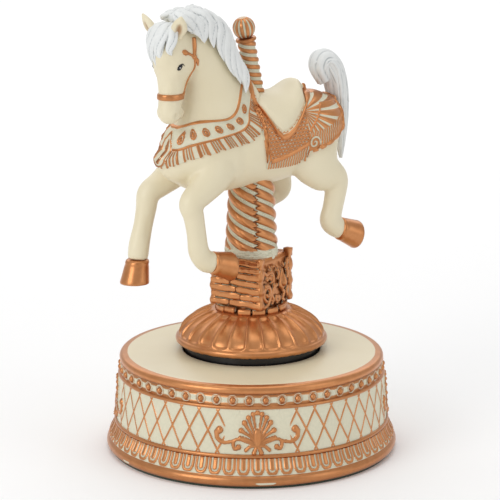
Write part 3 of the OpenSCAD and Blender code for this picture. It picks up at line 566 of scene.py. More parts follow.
def dome():
    """Gadroons scooped between thin raised fillets, over a plain rim with a rough casting edge."""
    lobes = 26
    rim_h = 3.0
    section = [(13, dome_z + 1.2), (dome_r - 4, dome_z + 0.6), (dome_r - 2.4, dome_z + 0.1)]
    section += arc_points(dome_r - 1.5, dome_z + 1.55, 1.5, -80, 60, 10)
    section += [(dome_r - 1.1, dome_z + rim_h)]
    low, top = dome_r - 1.2, 13.5
    section += [(top + (low - top) * math.cos(a) ** 1.35,
                 dome_z + rim_h + (plinth_z - dome_z - rim_h + 0.4) * math.sin(a) ** 1.15)
                for a in np.linspace(0.03, math.pi / 2, 44)]
    section += [(9, plinth_z + 0.4)]
    bm = turned(section, 832)
    p = places(bm)
    angle = np.arctan2(p[:, 1], p[:, 0])
    radius = np.hypot(p[:, 0], p[:, 1])
    z = p[:, 2]
    phase = np.abs((angle / math.tau * lobes) % 1 - 0.5) * 2
    up = (z - dome_z - rim_h) / (plinth_z - dome_z - rim_h)
    scoop = np.sqrt(np.clip(1 - (phase / 0.93) ** 2, 0, 1))
    toe = ramp(up - 0.10 * phase ** 3, 0.015, 0.13) * (1 - ramp(up, 0.93, 1.0))
    fillet = np.exp(-((1 - phase) * radius * math.pi / lobes / 0.42) ** 2)
    on = (z > dome_z + rim_h - 0.3) & (radius > 12)
    rng = np.random.default_rng(2)
    knots = rng.normal(0, 1, 200)
    rough = np.interp((angle / math.tau + 0.5) * 200, np.arange(200), knots)
    rim = (z < dome_z + 1.0) & (radius > dome_r - 3)
    press_out(bm, np.where(on, toe * (-0.95 * scoop + 0.22 * fillet), 0) + np.where(rim, 0.07 * rough, 0))
    # Painted shade: darker copper at the lower and upper ends of each gadroon and along the sides of the
    # scoops.
    shade = np.where(on, 0.30 * (1 - toe) * 0.4 + 0.2 * toe * (1 - scoop) * (1 - fillet), 0.12)
    pale = np.where(on, 1 - 0.42 * fillet * toe, 1.0)
    specks = rim & (rough > 1.9)
    finish_piece("dome_casting", bm, "turntable", ("pedestal_dome",),
                 paint={"copper": pale, "wash": 1.0, "shade": np.where(specks, 1.0, shade)})


def face_matrix(k):
    """The frame of a face of the plinth: x across it, y up, z out of it."""
    a = plinth_turn + k * math.pi / 2
    out = Vector((math.cos(a), math.sin(a), 0))
    across = Vector((-math.sin(a), math.cos(a), 0))
    m = Matrix((across, Vector((0, 0, 1)), out)).transposed().to_4x4()
    m.translation = out * mm(plinth_w / 2) + Vector((0, 0, mm(plinth_z)))
    return m


def squarish(turn, u):
    """Section of a hewn plank: nearly square, with soft corners."""
    return 1 / (np.abs(np.cos(turn)) ** 5 + np.abs(np.sin(turn)) ** 5) ** 0.2


def planks(matrix, rng):
    """Seven courses of short split planks with worn round ends."""
    bm = bmesh.new()
    courses = 7
    pitch = (plinth_top - plinth_z - 3.0) / courses
    for row in range(courses):
        y = 3.0 + pitch * (row + 0.5)
        cuts = [-plinth_w / 2 - 0.6, rng.uniform(-4, 4), plinth_w / 2 + 0.6]
        for left, right in zip(cuts, cuts[1:]):
            tilt = rng.uniform(-0.35, 0.35)
            bulge = rng.uniform(0.1, 0.55)
            thick = pitch / 2 * rng.uniform(0.86, 1.02)
            steps = np.linspace(0, 1, 7)
            stations = [(left + (right - left) * t, y + tilt * (t - 0.5) + rng.uniform(-0.12, 0.12),
                         bulge + rng.uniform(-0.12, 0.12),
                         thick * (0.72 if t in (0, 1) else rng.uniform(0.9, 1.04)),
                         1.25 + rng.uniform(-0.12, 0.2)) for t in steps]
            grain = rng.uniform(0, 6)
            tube(bm, stations, side=(0, 1, 0), around=28, along=36,
                 shape=lambda turn, u: squarish(turn, u) * (1 + 0.035 * np.sin(9 * turn + grain + 5 * u)))
    return placed(bm, matrix)


def ribbon(bm, points, start, end, height=0.9):
    """A round scroll rib lying on a face, through (across, up) points."""
    curve = line_points([(x, y) for x, y in points], 6)
    n = len(curve)
    stations = [(x, y, height * 0.35, start + (end - start) * i / (n - 1), height) for i,
                (x, y) in enumerate(curve)]
    tube(bm, stations, side=(0, 0, 1), around=12, along=n)


def volute(cx, cy, r, start, turns, shrink=0.2):
    """Points of a scroll that winds in towards its eye."""
    count = 14
    return [(cx + r * (1 - (1 - shrink) * i / count) * math.cos(start + math.tau * turns * i / count),
             cy + r * (1 - (1 - shrink) * i / count) * math.sin(start + math.tau * turns * i / count))
            for i in range(count + 1)]


def foliage(matrix, rng):
    """A C-scroll, an S-scroll, a drop-shaped boss in a collar, and leaf sprays between them."""
    bm = bmesh.new()
    ribs = [
        (volute(-6.6, 9.0, 3.6, -1.6, -1.25), 0.95, 0.75),
        ([(-9.8, 3.2), (-6.6, 3.6), (-4.6, 6.0), (-4.2, 9.4), (-6.2, 12.2), (-9.2, 12.0)], 0.7, 0.8),
        ([(-3.2, 3.2), (-1.8, 5.2), (-3.0, 8.0), (-1.0, 10.6), (1.4, 11.6)], 0.55, 0.75),
        (volute(2.0, 5.2, 1.9, 2.2, 1.1), 0.5, 0.5),
        ([(-10.4, 19.4), (-7.4, 17.2), (-4.0, 17.6), (-1.8, 15.0), (-2.6, 12.6)], 0.6, 0.8),
        ([(-7.6, 14.4), (-5.2, 15.6), (-2.6, 14.0)], 0.7, 0.4),
        ([(1.2, 13.4), (2.6, 15.6), (1.4, 18.4)], 0.6, 0.5),
        ([(8.8, 12.4), (9.4, 15.0), (8.4, 18.4), (9.8, 21.6)], 0.7, 0.8),
        ([(5.2, 8.6), (6.8, 6.6), (5.4, 4.4), (7.6, 3.0)], 0.6, 0.5),
        ([(9.8, 9.6), (8.6, 7.0), (10.2, 4.4)], 0.7, 0.6),
    ]
    for points, wide, last in ribs:
        ribbon(bm, points, wide, last)
    for _ in range(24):
        x, y = rng.uniform(-10.6, 10.6), rng.uniform(3.0, 21.0)
        lean, size = rng.uniform(0, math.tau), rng.uniform(0.8, 1.6)
        dx, dy = math.cos(lean) * size, math.sin(lean) * size
        tube(bm, [(x - dx, y - dy, 0.1, 0.25, 0.3), (x, y, 0.45, 0.55, 0.6),
                  (x + dx, y + dy, 0.2, 0.15, 0.2)],
             side=(-math.sin(lean), math.cos(lean), 0), around=8, along=8)
    for wide, high, out in ((2.8, 4.9, 0.7), (1.7, 3.7, 1.9)):
        tube(bm, [(5.2, 13.0 - high, 0.2, 0.4, 0.5), (5.2, 13.0 - high * 0.5, 0.4, wide, out + 0.3),
                  (5.2, 13.0 + high * 0.2, 0.3, wide * 0.72, out), (5.2, 13.0 + high, 0.1, 0.2, 0.4)],
             side=(1, 0, 0), around=24, along=26)
    return placed(bm, matrix)


def relief_paint(bm, dark=0.4):
    """Copper on what stands proud, the pale wash in what lies behind it, by how deep each point is set, and
    painted shade where a face turns away from the outside or lies behind other relief.
    """
    bm.normal_update()
    tree = BVHTree.FromBMesh(bm)
    shades, copper = [], []
    for vert in bm.verts:
        out = Vector((vert.co.x, vert.co.y, 0)).normalized()
        lean = vert.normal.dot(out)
        buried = tree.ray_cast(vert.co + vert.normal * mm(0.15), vert.normal, mm(2.6))[0] is not None
        copper.append(0.28 if buried and lean < 0.75 else 0.9)
        # Painted shade: darker where the surface leans away from the outside, and darker still behind other
        # relief.
        shades.append(dark * max(0.0, 0.72 - lean) + (0.25 if buried else 0.0))
    return np.array(copper), np.clip(np.array(shades), 0, 1)


def plinth():
    rng = np.random.default_rng(11)
    bm = bmesh.new()
    core = bmesh.ops.create_cube(bm, size=1.0)["verts"]
    high = plinth_top - plinth_z - 0.6
    bmesh.ops.transform(bm, verts=core, matrix=Matrix.Translation((0, 0, mm(plinth_z + 0.3 + high / 2)))
                        @ Matrix.Rotation(plinth_turn, 4, "Z")
                        @ Matrix.Diagonal((mm(plinth_w - 1.2), mm(plinth_w - 1.2), mm(high), 1)))
    bmesh.ops.subdivide_edges(bm, edges=bm.edges, cuts=9, use_grid_fill=True)
    sides = [planks(face_matrix(k), rng) for k in (0, 2)] + [foliage(face_matrix(k), rng) for k in (1, 3)]
    for k in range(4):
        corner = face_matrix(k) @ Vector((mm(plinth_w / 2 - 0.5), 0, mm(-0.5)))
        tall = 23.2 if k == 1 else 22.4
        knobs = [(corner.x * 1000, corner.y * 1000, plinth_z + 2.4 + tall * t,
                  1.5 + 0.35 * math.sin(t * 21), 1.5 + 0.35 * math.sin(t * 21))
                 for t in np.linspace(0, 1, 12)]
        tube(bm, knobs, side=(math.cos(plinth_turn), math.sin(plinth_turn), 0), around=20, along=60,
             shape=squarish)
    for i in range(14):
        a = math.tau * i / 14 + rng.uniform(-0.1, 0.1)
        r, lift = 14.2 + rng.uniform(-0.3, 0.5), rng.uniform(-0.2, 0.3)
        ends = [a - 0.2, a, a + 0.2]
        tube(bm, [(r * math.cos(e), r * math.sin(e), plinth_z + 1.5 + lift, 1.25, 1.2) for e in ends],
             side=(0, 0, 1), around=20, along=14, shape=squarish)
    bm = mould(gather([bm] + sides))
    copper, shade = relief_paint(bm)
    finish_piece("plinth_casting", bm, "turntable", ("plinth",),
                 paint={"copper": copper, "wash": 1.0, "shade": shade})


def column():
    """Three strands wound like rope, painted copper on the crests; the foot has a rough pale collar."""
    starts, pitch = 5, 5.6
    low_r, top_r = 10.2, 8.2
    section = [(0.0, column_z - 1.2)]
    section += [(low_r + (top_r - low_r) * t, column_z - 1.0 + (column_top - column_z - 0.3 + 1.0) * t)
                for t in np.linspace(0, 1, 240)]
    section += [(0.0, column_top - 0.3)]
    bm = turned(section, 300)
    p = places(bm)
    angle = np.arctan2(p[:, 1], p[:, 0])
    radius = np.hypot(p[:, 0], p[:, 1])
    z = p[:, 2]
    seams = [math.radians(a) for a in (-80, 95)]
    jag = 0.07 * np.sin(z * 2.3) + 0.04 * np.sin(z * 5.1 + 1)
    step = (angle > seams[0] + jag) & (angle < seams[1] + jag)
    phase = (z / pitch + starts * angle / math.tau + np.where(step, 0.3, 0.0)) % 1
    roll = np.sin(np.clip(phase / 0.80, 0, 1) * math.pi) ** 0.5
    ribbon_rise = 0.3 * np.exp(-((phase - 0.90) / 0.04) ** 2)
    near_seam = np.minimum(np.abs(angle - jag - seams[0]), np.abs(angle - jag - seams[1])) * radius
    cut = np.exp(-(near_seam / 0.55) ** 2)
    foot = 1 - ramp(z, column_z + 2.2, column_z + 4.2)
    rng = np.random.default_rng(8)
    lumps = rng.normal(0, 1, (12, 40))
    lump = lumps[np.clip(((z - column_z) * 1.5).astype(int), 0, 11),
                 ((angle / math.tau + 0.5) * 39).astype(int)]
    rise = (1 - foot) * (1.35 * roll + ribbon_rise - 0.8 * cut * roll) + foot * (1.1 + 0.16 * lump)
    press_out(bm, np.where(radius > 1, rise, 0))
    copper = (1 - foot) * ramp(roll, 0.3, 0.6) * 0.95 + foot * (0.2 + 0.2 * (lump > 1.2))
    # Painted shade: darker copper in the seam cut and between the rope strands.
    shade = (1 - foot) * (0.75 * cut + 0.35 * (1 - ramp(roll, 0.5, 1.0)))
    finish_piece("column_casting", bm, "turntable", ("lower_column",),
                 paint={"copper": copper, "wash": 1.0, "shade": np.clip(shade, 0, 1)})


dome()
plinth()
column()


# ---------------------------------------------------------------------------------------------
# Horse: a hollow-looking but solid polyresin casting, carved smooth, in satin cream paint.
# Its own axes are x forward, y to its near side and z up from the middle of the belly.
# ---------------------------------------------------------------------------------------------
horse_z = column_top - 5
HORSE = Matrix.Translation((0, 0, mm(horse_z))) @ Matrix.Rotation(math.radians(212), 4, "Z")
HEAD = (Matrix.Translation((mm(41.2), mm(4), mm(67.2))) @ Matrix.Rotation(math.radians(24), 4, "Z")
        @ Matrix.Rotation(math.radians(89), 4, "Y"))


def head_point(x, y, z):
    """A place on the head, in the horse's axes: x down the face, z towards the forehead."""
    return np.array(HEAD @ Vector((mm(x), mm(y), mm(z)))) * 1000


TORSO = [(41, 0, 22, 2, 3), (39.5, 0, 21.5, 6.5, 8.5), (36, 0, 20, 11, 14), (29, 0, 19, 14.5, 18),
         (18, 0, 18.5, 16, 19.2), (6, 0, 18.6, 16.4, 18.6), (-8, 0, 18.6, 16.6, 18.4),
         (-20, 0, 20.2, 16.2, 17),
         (-30, 0, 22.6, 15.4, 15), (-37, 0, 24, 12.4, 12), (-41.5, 0, 24.5, 7.5, 7.5),
         (-43, 0, 24.5, 2.5, 2.5)]
NECK = [(17, 0, 20, 12, 20), (18, 0, 32, 12, 19.5), (20.4, 0.6, 43, 9.6, 15), (24.6, 1.8, 53.6, 8, 11.6),
        (30.8, 3, 62.6, 7, 9.6), (36.8, 3.8, 69, 5.4, 6.6)]
NEAR_FORE = [(20, 8, 16, 7, 11), (26, 10.5, 9, 6.4, 8.4), (33, 11.6, 3, 5.4, 6.4), (38.4, 12, -1.6, 4.8, 4.9),
             (37, 12, -7, 4.2, 4.4), (35.6, 12, -15, 3.8, 4.2), (34.6, 12, -22, 4.2, 4.4),
             (31.6, 12, -26.4, 4.2, 4.6), (27.5, 12, -27.8, 4.4, 4.8)]
FAR_FORE = [(22, -8, 17, 7, 10), (31, -10.6, 8, 6.2, 7.2), (38, -11.6, 3, 5.4, 5.6),
            (43.6, -12, -0.6, 4.8, 4.9),
            (45, -12, -7, 4.3, 4.4), (46.6, -12, -14, 3.8, 4.2), (48.6, -12, -22, 4.2, 4.5),
            (49.4, -12, -28.4, 4.1, 4.4)]
NEAR_HIND = [(-24, 7, 20, 9, 14), (-25, 10, 11, 7.5, 12.5), (-29, 11.4, 4.6, 6, 9.4), (-35, 12, 0.4, 5, 6),
             (-35.4, 12, -5, 4.3, 5), (-34, 12, -12, 4, 4.6), (-32.8, 12, -17.4, 4.4, 4.8),
             (-35.6, 12, -20.6, 4.3, 4.6), (-38.4, 12, -21.4, 4.3, 4.6)]
FAR_HIND = [(-22, -7, 19, 9, 13), (-20.5, -10, 8, 7.2, 10.5), (-21.6, -12, -0.5, 5.4, 7.4),
            (-24, -13.4, -7, 4.7, 5),
            (-19, -14.4, -10.4, 4.2, 4.4), (-14, -15, -13.4, 4.2, 4.4), (-10.6, -15.4, -16.6, 4.2, 4.3)]
HEAD_LINE = [(-5, 0, 1, 4, 5), (-1, 0, 0, 6.6, 8.6), (6, 0, -0.6, 7.6, 10.2), (13, 0, 0, 7, 9),
             (19, 0, 1.4, 5.6, 6.8), (25, 0, 2, 4.8, 5.4), (30, 0, 2, 4.7, 5.1), (33.6, 0, 1.6, 4.3, 4.4),
             (35.4, 0, 1.2, 2.6, 2.8)]


def moved(points, matrix):
    return np.array([np.array(matrix @ Vector(p * 0.001)) * 1000 for p in points])


def on_head(stations):
    """Stations given on the head, in the horse's axes."""
    stations = np.array(stations, dtype=float)
    return np.hstack([moved(stations[:, :3], HEAD), stations[:, 3:]])


def head_side():
    return np.array(HEAD.to_3x3() @ Vector((0, 1, 0)))


def ear_frame(side):
    """Where an ear grows: it stands up from the poll, leans out and turns its cup to the side."""
    return HEAD @ Matrix.Translation((mm(-1.0), mm(side * 5.8), mm(5.2))) \
        @ Matrix.Rotation(math.radians(side * -24), 4, "Z") @ Matrix.Rotation(math.radians(20), 4, "Y") \
        @ Matrix.Rotation(math.radians(side * -34), 4, "X")


def ear_form(bm, side):
    frame_of = ear_frame(side)
    stations = [(1.5, 0, 0, 1.6, 1.5), (-0.6, 0, 0, 2.3, 1.7), (-3.2, 0, 0, 3.3, 1.9), (-6.0, 0, 0, 2.7, 1.5),
                (-8.4, 0, 0, 1.1, 0.8), (-9.4, 0, 0, 0.3, 0.3)]
    points = moved(np.array(stations)[:, :3], frame_of)
    sides = np.array(frame_of.to_3x3() @ Vector((0, 1, 0)))
    tube(bm, np.hstack([points, np.array(stations)[:, 3:]]), side=sides, around=24, along=30)


def remeshed(bm, voxel, rounds):
    """One skin over several overlapping forms, softened."""
    mesh = bpy.data.meshes.new("form")
    bm.to_mesh(mesh)
    bm.free()
    thing = bpy.data.objects.new("form", mesh)
    scene.collection.objects.link(thing)
    skin = thing.modifiers.new("skin", "REMESH")
    skin.mode = "VOXEL"
    skin.voxel_size = mm(voxel)
    thing_now = thing.evaluated_get(bpy.context.evaluated_depsgraph_get())
    out = bmesh.new()
    out.from_mesh(thing_now.to_mesh())
    thing_now.to_mesh_clear()
    bpy.data.objects.remove(thing)
    for _ in range(rounds):
        bmesh.ops.smooth_vert(out, verts=out.verts, factor=0.5, use_axis_x=True, use_axis_y=True,
                              use_axis_z=True)
    return mould(out)


def carve(bm, touches):
    """Pushes a form along its normals. A touch is (points along it, radius, height), in millimetres."""
    p = places(bm)
    bm.normal_update()
    rise = np.zeros(len(p))
    for points, radius, height in touches:
        line = line_points(points, 8) if len(points) > 1 else np.array(points, dtype=float)
        best = np.full(len(p), 1e9)
        for spot in line:
            best = np.minimum(best, np.sum((p - spot) ** 2, axis=1))
        rise += height * np.exp(-best / radius ** 2)
    for vert, by in zip(bm.verts, rise):
        vert.co += vert.normal * mm(float(by))


def both(touches):
    """The same touches on the off side too, in the head's own axes."""
    out = []
    for points, radius, height in touches:
        for side in (1, -1):
            out.append(([head_point(x, y * side, z) for x, y, z in points], radius, height))
    return out


def horse_touches():
    body = []
    for side in (1, -1):
        body += [
            ([(26, side * 13, 26), (30, side * 12.5, 16)], 6.5, 0.8),
            ([(17, side * 15, 30), (14, side * 16, 16), (13, side * 14, 6)], 2.6, -0.5),
            ([(37, side * 5.0, 16), (38, side * 5.4, 24)], 4.5, 0.7),
            ([(40, 0, 28), (41, 0, 18), (37, 0, 8)], 2.0, -0.35),
            ([(-22, side * 15, 26), (-30, side * 13, 26)], 7.0, 0.7),
            ([(-15, side * 15, 14), (-17, side * 12, 7)], 3.0, -0.5),
            ([(27, side * 9, 54), (22, side * 10, 42)], 3.0, -0.25),
        ]
    body += [([head_point(9, 0, 9.5)], 4.8, 1.3), ([head_point(19.5, 0, 8)], 3.2, -0.7),
             ([head_point(31.5, 0, 6.4)], 3.4, 0.9)]
    face = both([
        ([(11.0, 7.0, 5.4), (14.4, 6.4, 5.2)], 2.2, 0.5),
        ([(9.6, 6.6, 7.6), (13.6, 5.8, 7.2)], 1.6, 0.6),
        ([(12.8, 7.0, 3.8)], 1.4, -0.4),
        ([(7, 7.2, -5.5), (11, 6.8, -5.0)], 4.6, 0.9),
        ([(15.0, 6.0, -6.6), (18.4, 5.4, -1.4), (17.0, 5.6, 2.0)], 1.6, -0.4),
        ([(17.5, 4.8, 5.0), (23, 4.0, 4.8)], 1.6, -0.3),
        ([(31.6, 3.8, 4.6)], 1.9, 0.8),
        ([(32.0, 4.4, 4.2)], 0.95, -1.6),
        ([(34.8, 3.2, 0.4), (32.0, 4.4, -0.8), (29.0, 4.6, -1.2)], 0.8, -1.1),
        ([(33.2, 2.6, -2.4), (31.4, 3.4, -2.8)], 1.5, 0.7),
        ([(29.0, 3.4, -3.0), (26.6, 3.6, -2.6)], 1.3, -0.4),
    ])
    legs = [
        ([(38.6, 12, -1.8)], 3.4, 0.35), ([(44.2, -12, -1.2)], 3.4, 0.35), ([(34.8, 12, -22)], 3.0, 0.3),
        ([(48.8, -12, -23)], 3.0, 0.3), ([(-35.6, 12, 0)], 3.2, 0.3), ([(-32.8, 12, -17.6)], 3.0, 0.3),
        ([(36.6, 15.6, -10), (35.2, 15.2, -18)], 1.2, -0.2),
            ([(46, -8.4, -10), (47.4, -8.4, -18)], 1.2, -0.2),
    ]
    return body + face + legs


def horse_body():
    bm = bmesh.new()
    tube(bm, TORSO, around=64, along=100)
    tube(bm, NECK, around=48, along=70)
    tube(bm, on_head(HEAD_LINE), side=head_side(), around=40, along=60)
    tube(bm, on_head([(1, 0, -1, 3, 4), (3, 0, -4, 6.0, 6.0), (9, 0, -4.2, 6.2, 5.6), (15, 0, -2.4, 4.6, 4.6),
                      (19, 0, -1, 3.4, 3)]), side=head_side(), around=32, along=30)
    tube(bm, on_head([(28, 0, -1, 2.4, 2.0), (31, 0, -1.8, 3.4, 2.4), (33.4, 0, -1.6, 2.4, 1.8)]),
         side=head_side(), around=24, along=16)
    for leg in (NEAR_FORE, FAR_FORE, NEAR_HIND, FAR_HIND):
        tube(bm, leg, around=36, along=80)
    tube(bm, [(30, 0, 12, 8, 8), (36, 0, 14, 9.4, 9), (39, 0, 20, 7, 8)], side=(0, 1, 0), around=32, along=30)
    mould(bm)
    bm = remeshed(bm, 0.62, 8)
    carve(bm, horse_touches())
    return placed(bm, HORSE)


body_bm = horse_body()
skin_tree = BVHTree.FromBMesh(body_bm)
TO_HORSE = HORSE.inverted()


def snap(points, lift=0.0):
    """The nearest places on the horse's skin and the outward directions there, in its own axes."""
    spots, outs = [], []
    turn = TO_HORSE.to_3x3()
    for p in points:
        co, normal, _, _ = skin_tree.find_nearest(HORSE @ Vector(p * 0.001))
        out = np.array(turn @ normal)
        spots.append(np.array(TO_HORSE @ co) * 1000 + out * lift)
        outs.append(out)
    return np.array(spots), np.array(outs)


def first_skin(origin, direction):
    """Where a line from inside the horse comes out, in its own axes, and the outward direction there."""
    turn = HORSE.to_3x3()
    co, normal, _, _ = skin_tree.ray_cast(HORSE @ Vector(origin * 0.001), turn @ Vector(direction), 0.08)
    if co is None:
        return np.array(origin) + np.array(direction) * 12, np.array(direction)
    return np.array(TO_HORSE @ co) * 1000, np.array(TO_HORSE.to_3x3() @ normal)


finish_piece("horse_casting", body_bm, "turntable", ("horse_body",),
             paint={"copper": 0.0, "wash": 0.0, "shade": 0.0})


# ---------------------------------------------------------------------------------------------
# Ears: two leaf-shaped cups cast with the head, brushed tan in the hollow. They stand up from
# the poll, in front of the mane.
# ---------------------------------------------------------------------------------------------
def ears():
    bm = bmesh.new()
    for side in (1, -1):
        ear_form(bm, side)
    mould(bm)
    p = places(bm)
    hollow = np.zeros(len(p))
    for side in (1, -1):
        local = moved(p, ear_frame(side).inverted())
        inside = (np.abs(local[:, 1]) < 4) & (local[:, 2] > -0.4) & (local[:, 0] < 2) & (local[:, 0] > -10)
        pit = np.clip(1 - (local[:, 1] / 1.6) ** 2 - ((local[:, 0] + 3.2) / 3.6) ** 2, 0, 1)
        hollow = np.maximum(hollow, np.where(inside, pit, 0))
    bm.normal_update()
    for vert, deep in zip(bm.verts, hollow):
        vert.co -= vert.normal * mm(1.5 * float(deep) ** 0.7)
    finish_piece("ears", placed(bm, HORSE), "turntable", ("horse_body",),
                 paint={"copper": 0.0, "wash": 0.0, "tan": np.clip(hollow * 1.2, 0, 1), "shade": 0.0})


ears()


# ---------------------------------------------------------------------------------------------
# Mane, forelock and tail: cast with the horse as thick wavy locks with combed grooves, and
# painted white. Each lock is a closed form that lies on the horse's skin.
# ---------------------------------------------------------------------------------------------
def hair_paint():
    """White acrylic on the locks, turning a bluish grey where the surface is concave, in the grooves."""
    material, tree, shader = new_material("white_painted_hair")
    place = node(tree, "ShaderNodeTexCoord").outputs["Object"]
    speck = noise(tree, place, 420.0, 4.0)
    light = blend(tree, speck, linear("eaebe9"), linear("dadddc"))
    # Bluish grey where the groove attribute marks a concave surface.
    colour = blend(tree, attribute(tree, "groove"), light, linear("a3a9ab"))
    bump = node(tree, "ShaderNodeBump", Height=speck, Strength=0.15, Distance=mm(0.12))
    tree.links.new(colour, shader.inputs["Base Color"])
    tree.links.new(bump.outputs["Normal"], shader.inputs["Normal"])
    shader.inputs["Roughness"].default_value = 0.5
    return material


HAIR = hair_paint()


def lock(bm, points, wide, deep, strands=3, around=36, along=56, side=(0, 1, 0), faces_out=None):
    """A lock of hair: it swells, then runs out to a point, with grooves combed along it."""
    curve = line_points(points, 6)
    t = np.linspace(0, 1, len(curve))
    swell = np.minimum(1.0, 0.55 + 1.6 * t) * (1 - t ** 4) + 0.02
    stations = np.hstack([curve, (wide * swell)[:, None], (deep * np.maximum(swell, 0.12))[:, None]])

    def combed(turn, u):
        return 0.80 + 0.26 * np.abs(np.sin(strands * turn + 1.2 * np.sin(5 * u))) ** 0.8
    tube(bm, stations, side=side, around=around, along=along, shape=combed, faces_out=faces_out)


def skin_out(points):
    return snap(points)[1]


def groove_of(bm):
    """How hollow each point is: the turn of its normals against its neighbours."""
    bm.normal_update()
    hollow = []
    for vert in bm.verts:
        total = 0.0
        for edge in vert.link_edges:
            other = edge.other_vert(vert)
            gap = other.co - vert.co
            if gap.length > 1e-9:
                total += gap.normalized().dot(vert.normal)
        hollow.append(total / max(1, len(vert.link_edges)))
    return np.clip(np.array(hollow) * 4.0, 0, 1)


def mane():
    crest = np.array([(41, 4.6, 75.4), (36, 4.6, 77.4), (28, 4.4, 77.0), (19.4, 4.0, 70.4), (13, 3.6, 61),
                      (9.4, 3.4, 54),
                      (7.8, 3.0, 47.5)])
    bm = bmesh.new()
    base = [(42.4, 4.4, 73.6, 2.8, 2.2), (37.6, 4.4, 74.6, 4.6, 3.2), (29, 4.4, 73.4, 5.6, 3.8),
            (21, 4, 67.4, 5.8, 3.9),
            (14.4, 3.6, 58, 5.6, 3.8), (10, 3.4, 49.6, 5, 3.4), (8.2, 3, 42.6, 3, 2.2)]
    tube(bm, base, around=40, along=90, shape=lambda turn,
         u: 0.88 + 0.14 * np.abs(np.sin(4 * turn + 2 * np.sin(6 * u))))
    rng = np.random.default_rng(21)
    for side, count in ((1, 8), (-1, 7)):
        for i in range(count):
            s0 = 0.06 + 0.66 * i / (count - 1)
            reach = 0.20 + 0.04 * rng.uniform(-1, 1)
            drop = 9.5 + rng.uniform(-1.0, 2.0) + (2.5 if side > 0 else 0) - 4.0 * (i > count - 3)
            path = []
            for t in np.linspace(0, 1, 7):
                root = sized(crest, np.array([min(s0 + reach * t, 1.0)]))[0]
                sway = 2.6 * math.sin(math.pi * (1.8 * t + 0.3 * i))
                path.append(root + np.array([2.2 * t + 0.7 * sway, side * (1.6 + 7.0 * math.sin(t * 1.5)),
                                             -drop * t * (0.35 + 0.65 * t)]))
            spots, outs = snap(np.array(path))
            blend_in = np.linspace(0, 1, len(path))[:, None]
            lifted = spots + outs * 1.9
            final = np.array(path) * (1 - blend_in) + lifted * blend_in
            lock(bm, final, 3.5 + rng.uniform(-0.3, 0.6), 2.1, strands=2, faces_out=skin_out)
    mould(bm)
    grooves = groove_of(bm)
    finish_piece("mane_locks", placed(bm, HORSE), "turntable", ("mane",), material=HAIR,
                 paint={"groove": grooves})


def forelock():
    bm = bmesh.new()
    falls = [
        ([(-5, 1.6, 2.6), (-3.6, 1.4, 7.6), (0.6, 0.6, 10.2), (5.4, 0.0, 10.6), (9.0, 0.8, 9.8)], 2.7),
        ([(-5, -0.8, 2.8), (-3.6, -1.8, 8.0), (1.0, -3.0, 10.0), (6.4, -3.2, 10.0), (11.6, -2.2, 9.2)], 2.9),
        ([(-5, -2.2, 2.4), (-3.4, -4.2, 7.0), (1.0, -5.8, 8.2), (6.0, -6.2, 7.6), (12.0, -5.0, 7.2)], 2.7),
        ([(-5, 2.8, 2.2), (-3.2, 4.2, 6.6), (1.0, 4.8, 8.4), (4.6, 4.2, 9.0), (7.0, 4.8, 8.2)], 2.3),
    ]
    for points, wide in falls:
        lock(bm, np.array([head_point(*p) for p in points]), wide, 1.7, strands=2, faces_out=skin_out)
    mould(bm)
    grooves = groove_of(bm)
    finish_piece("forelock_locks", placed(bm, HORSE), "turntable", ("forelock",),
                 material=HAIR,
                 paint={"groove": grooves})


def tail():
    bm = bmesh.new()
    spine = [(-38.6, 0, 41, 3, 4), (-35.4, 0, 47.0, 5.2, 4.4), (-37, 0, 50.0, 6, 4.8),
             (-41.2, 0, 46.4, 6.4, 4.9),
             (-44.2, 0, 38, 6, 4.4), (-46.0, 0, 26, 4.8, 3.4), (-46.6, 0, 14, 2.6, 2.2),
             (-47.0, 0, 6, 0.7, 0.7)]
    tube(bm, spine, around=56, along=120,
         shape=lambda turn, u: 0.90 + 0.13 * np.abs(np.sin(4 * turn + 1.4 * np.sin(7 * u))))
    rng = np.random.default_rng(4)
    for i in range(9):
        a = math.tau * i / 9
        path = []
        for t in np.linspace(0, 1, 9):
            at = sized(spine, np.array([0.12 + 0.86 * t * (0.8 + 0.2 * rng.uniform())]))[0]
            swing = a + 0.9 * math.sin(2.6 * t + i)
            path.append(at[:3]
                        + np.array([at[4] * 0.72 * math.cos(swing), at[3] * 0.8 * math.sin(swing), 0.0]))
        lock(bm, np.array(path), 1.9, 1.5, strands=3, around=24, along=64, side=(0.3, 1, 0))
    mould(bm)
    grooves = groove_of(bm)
    finish_piece("tail_locks", placed(bm, HORSE), "turntable", ("tail",), material=HAIR,
                 paint={"groove": grooves})


mane()
forelock()
tail()


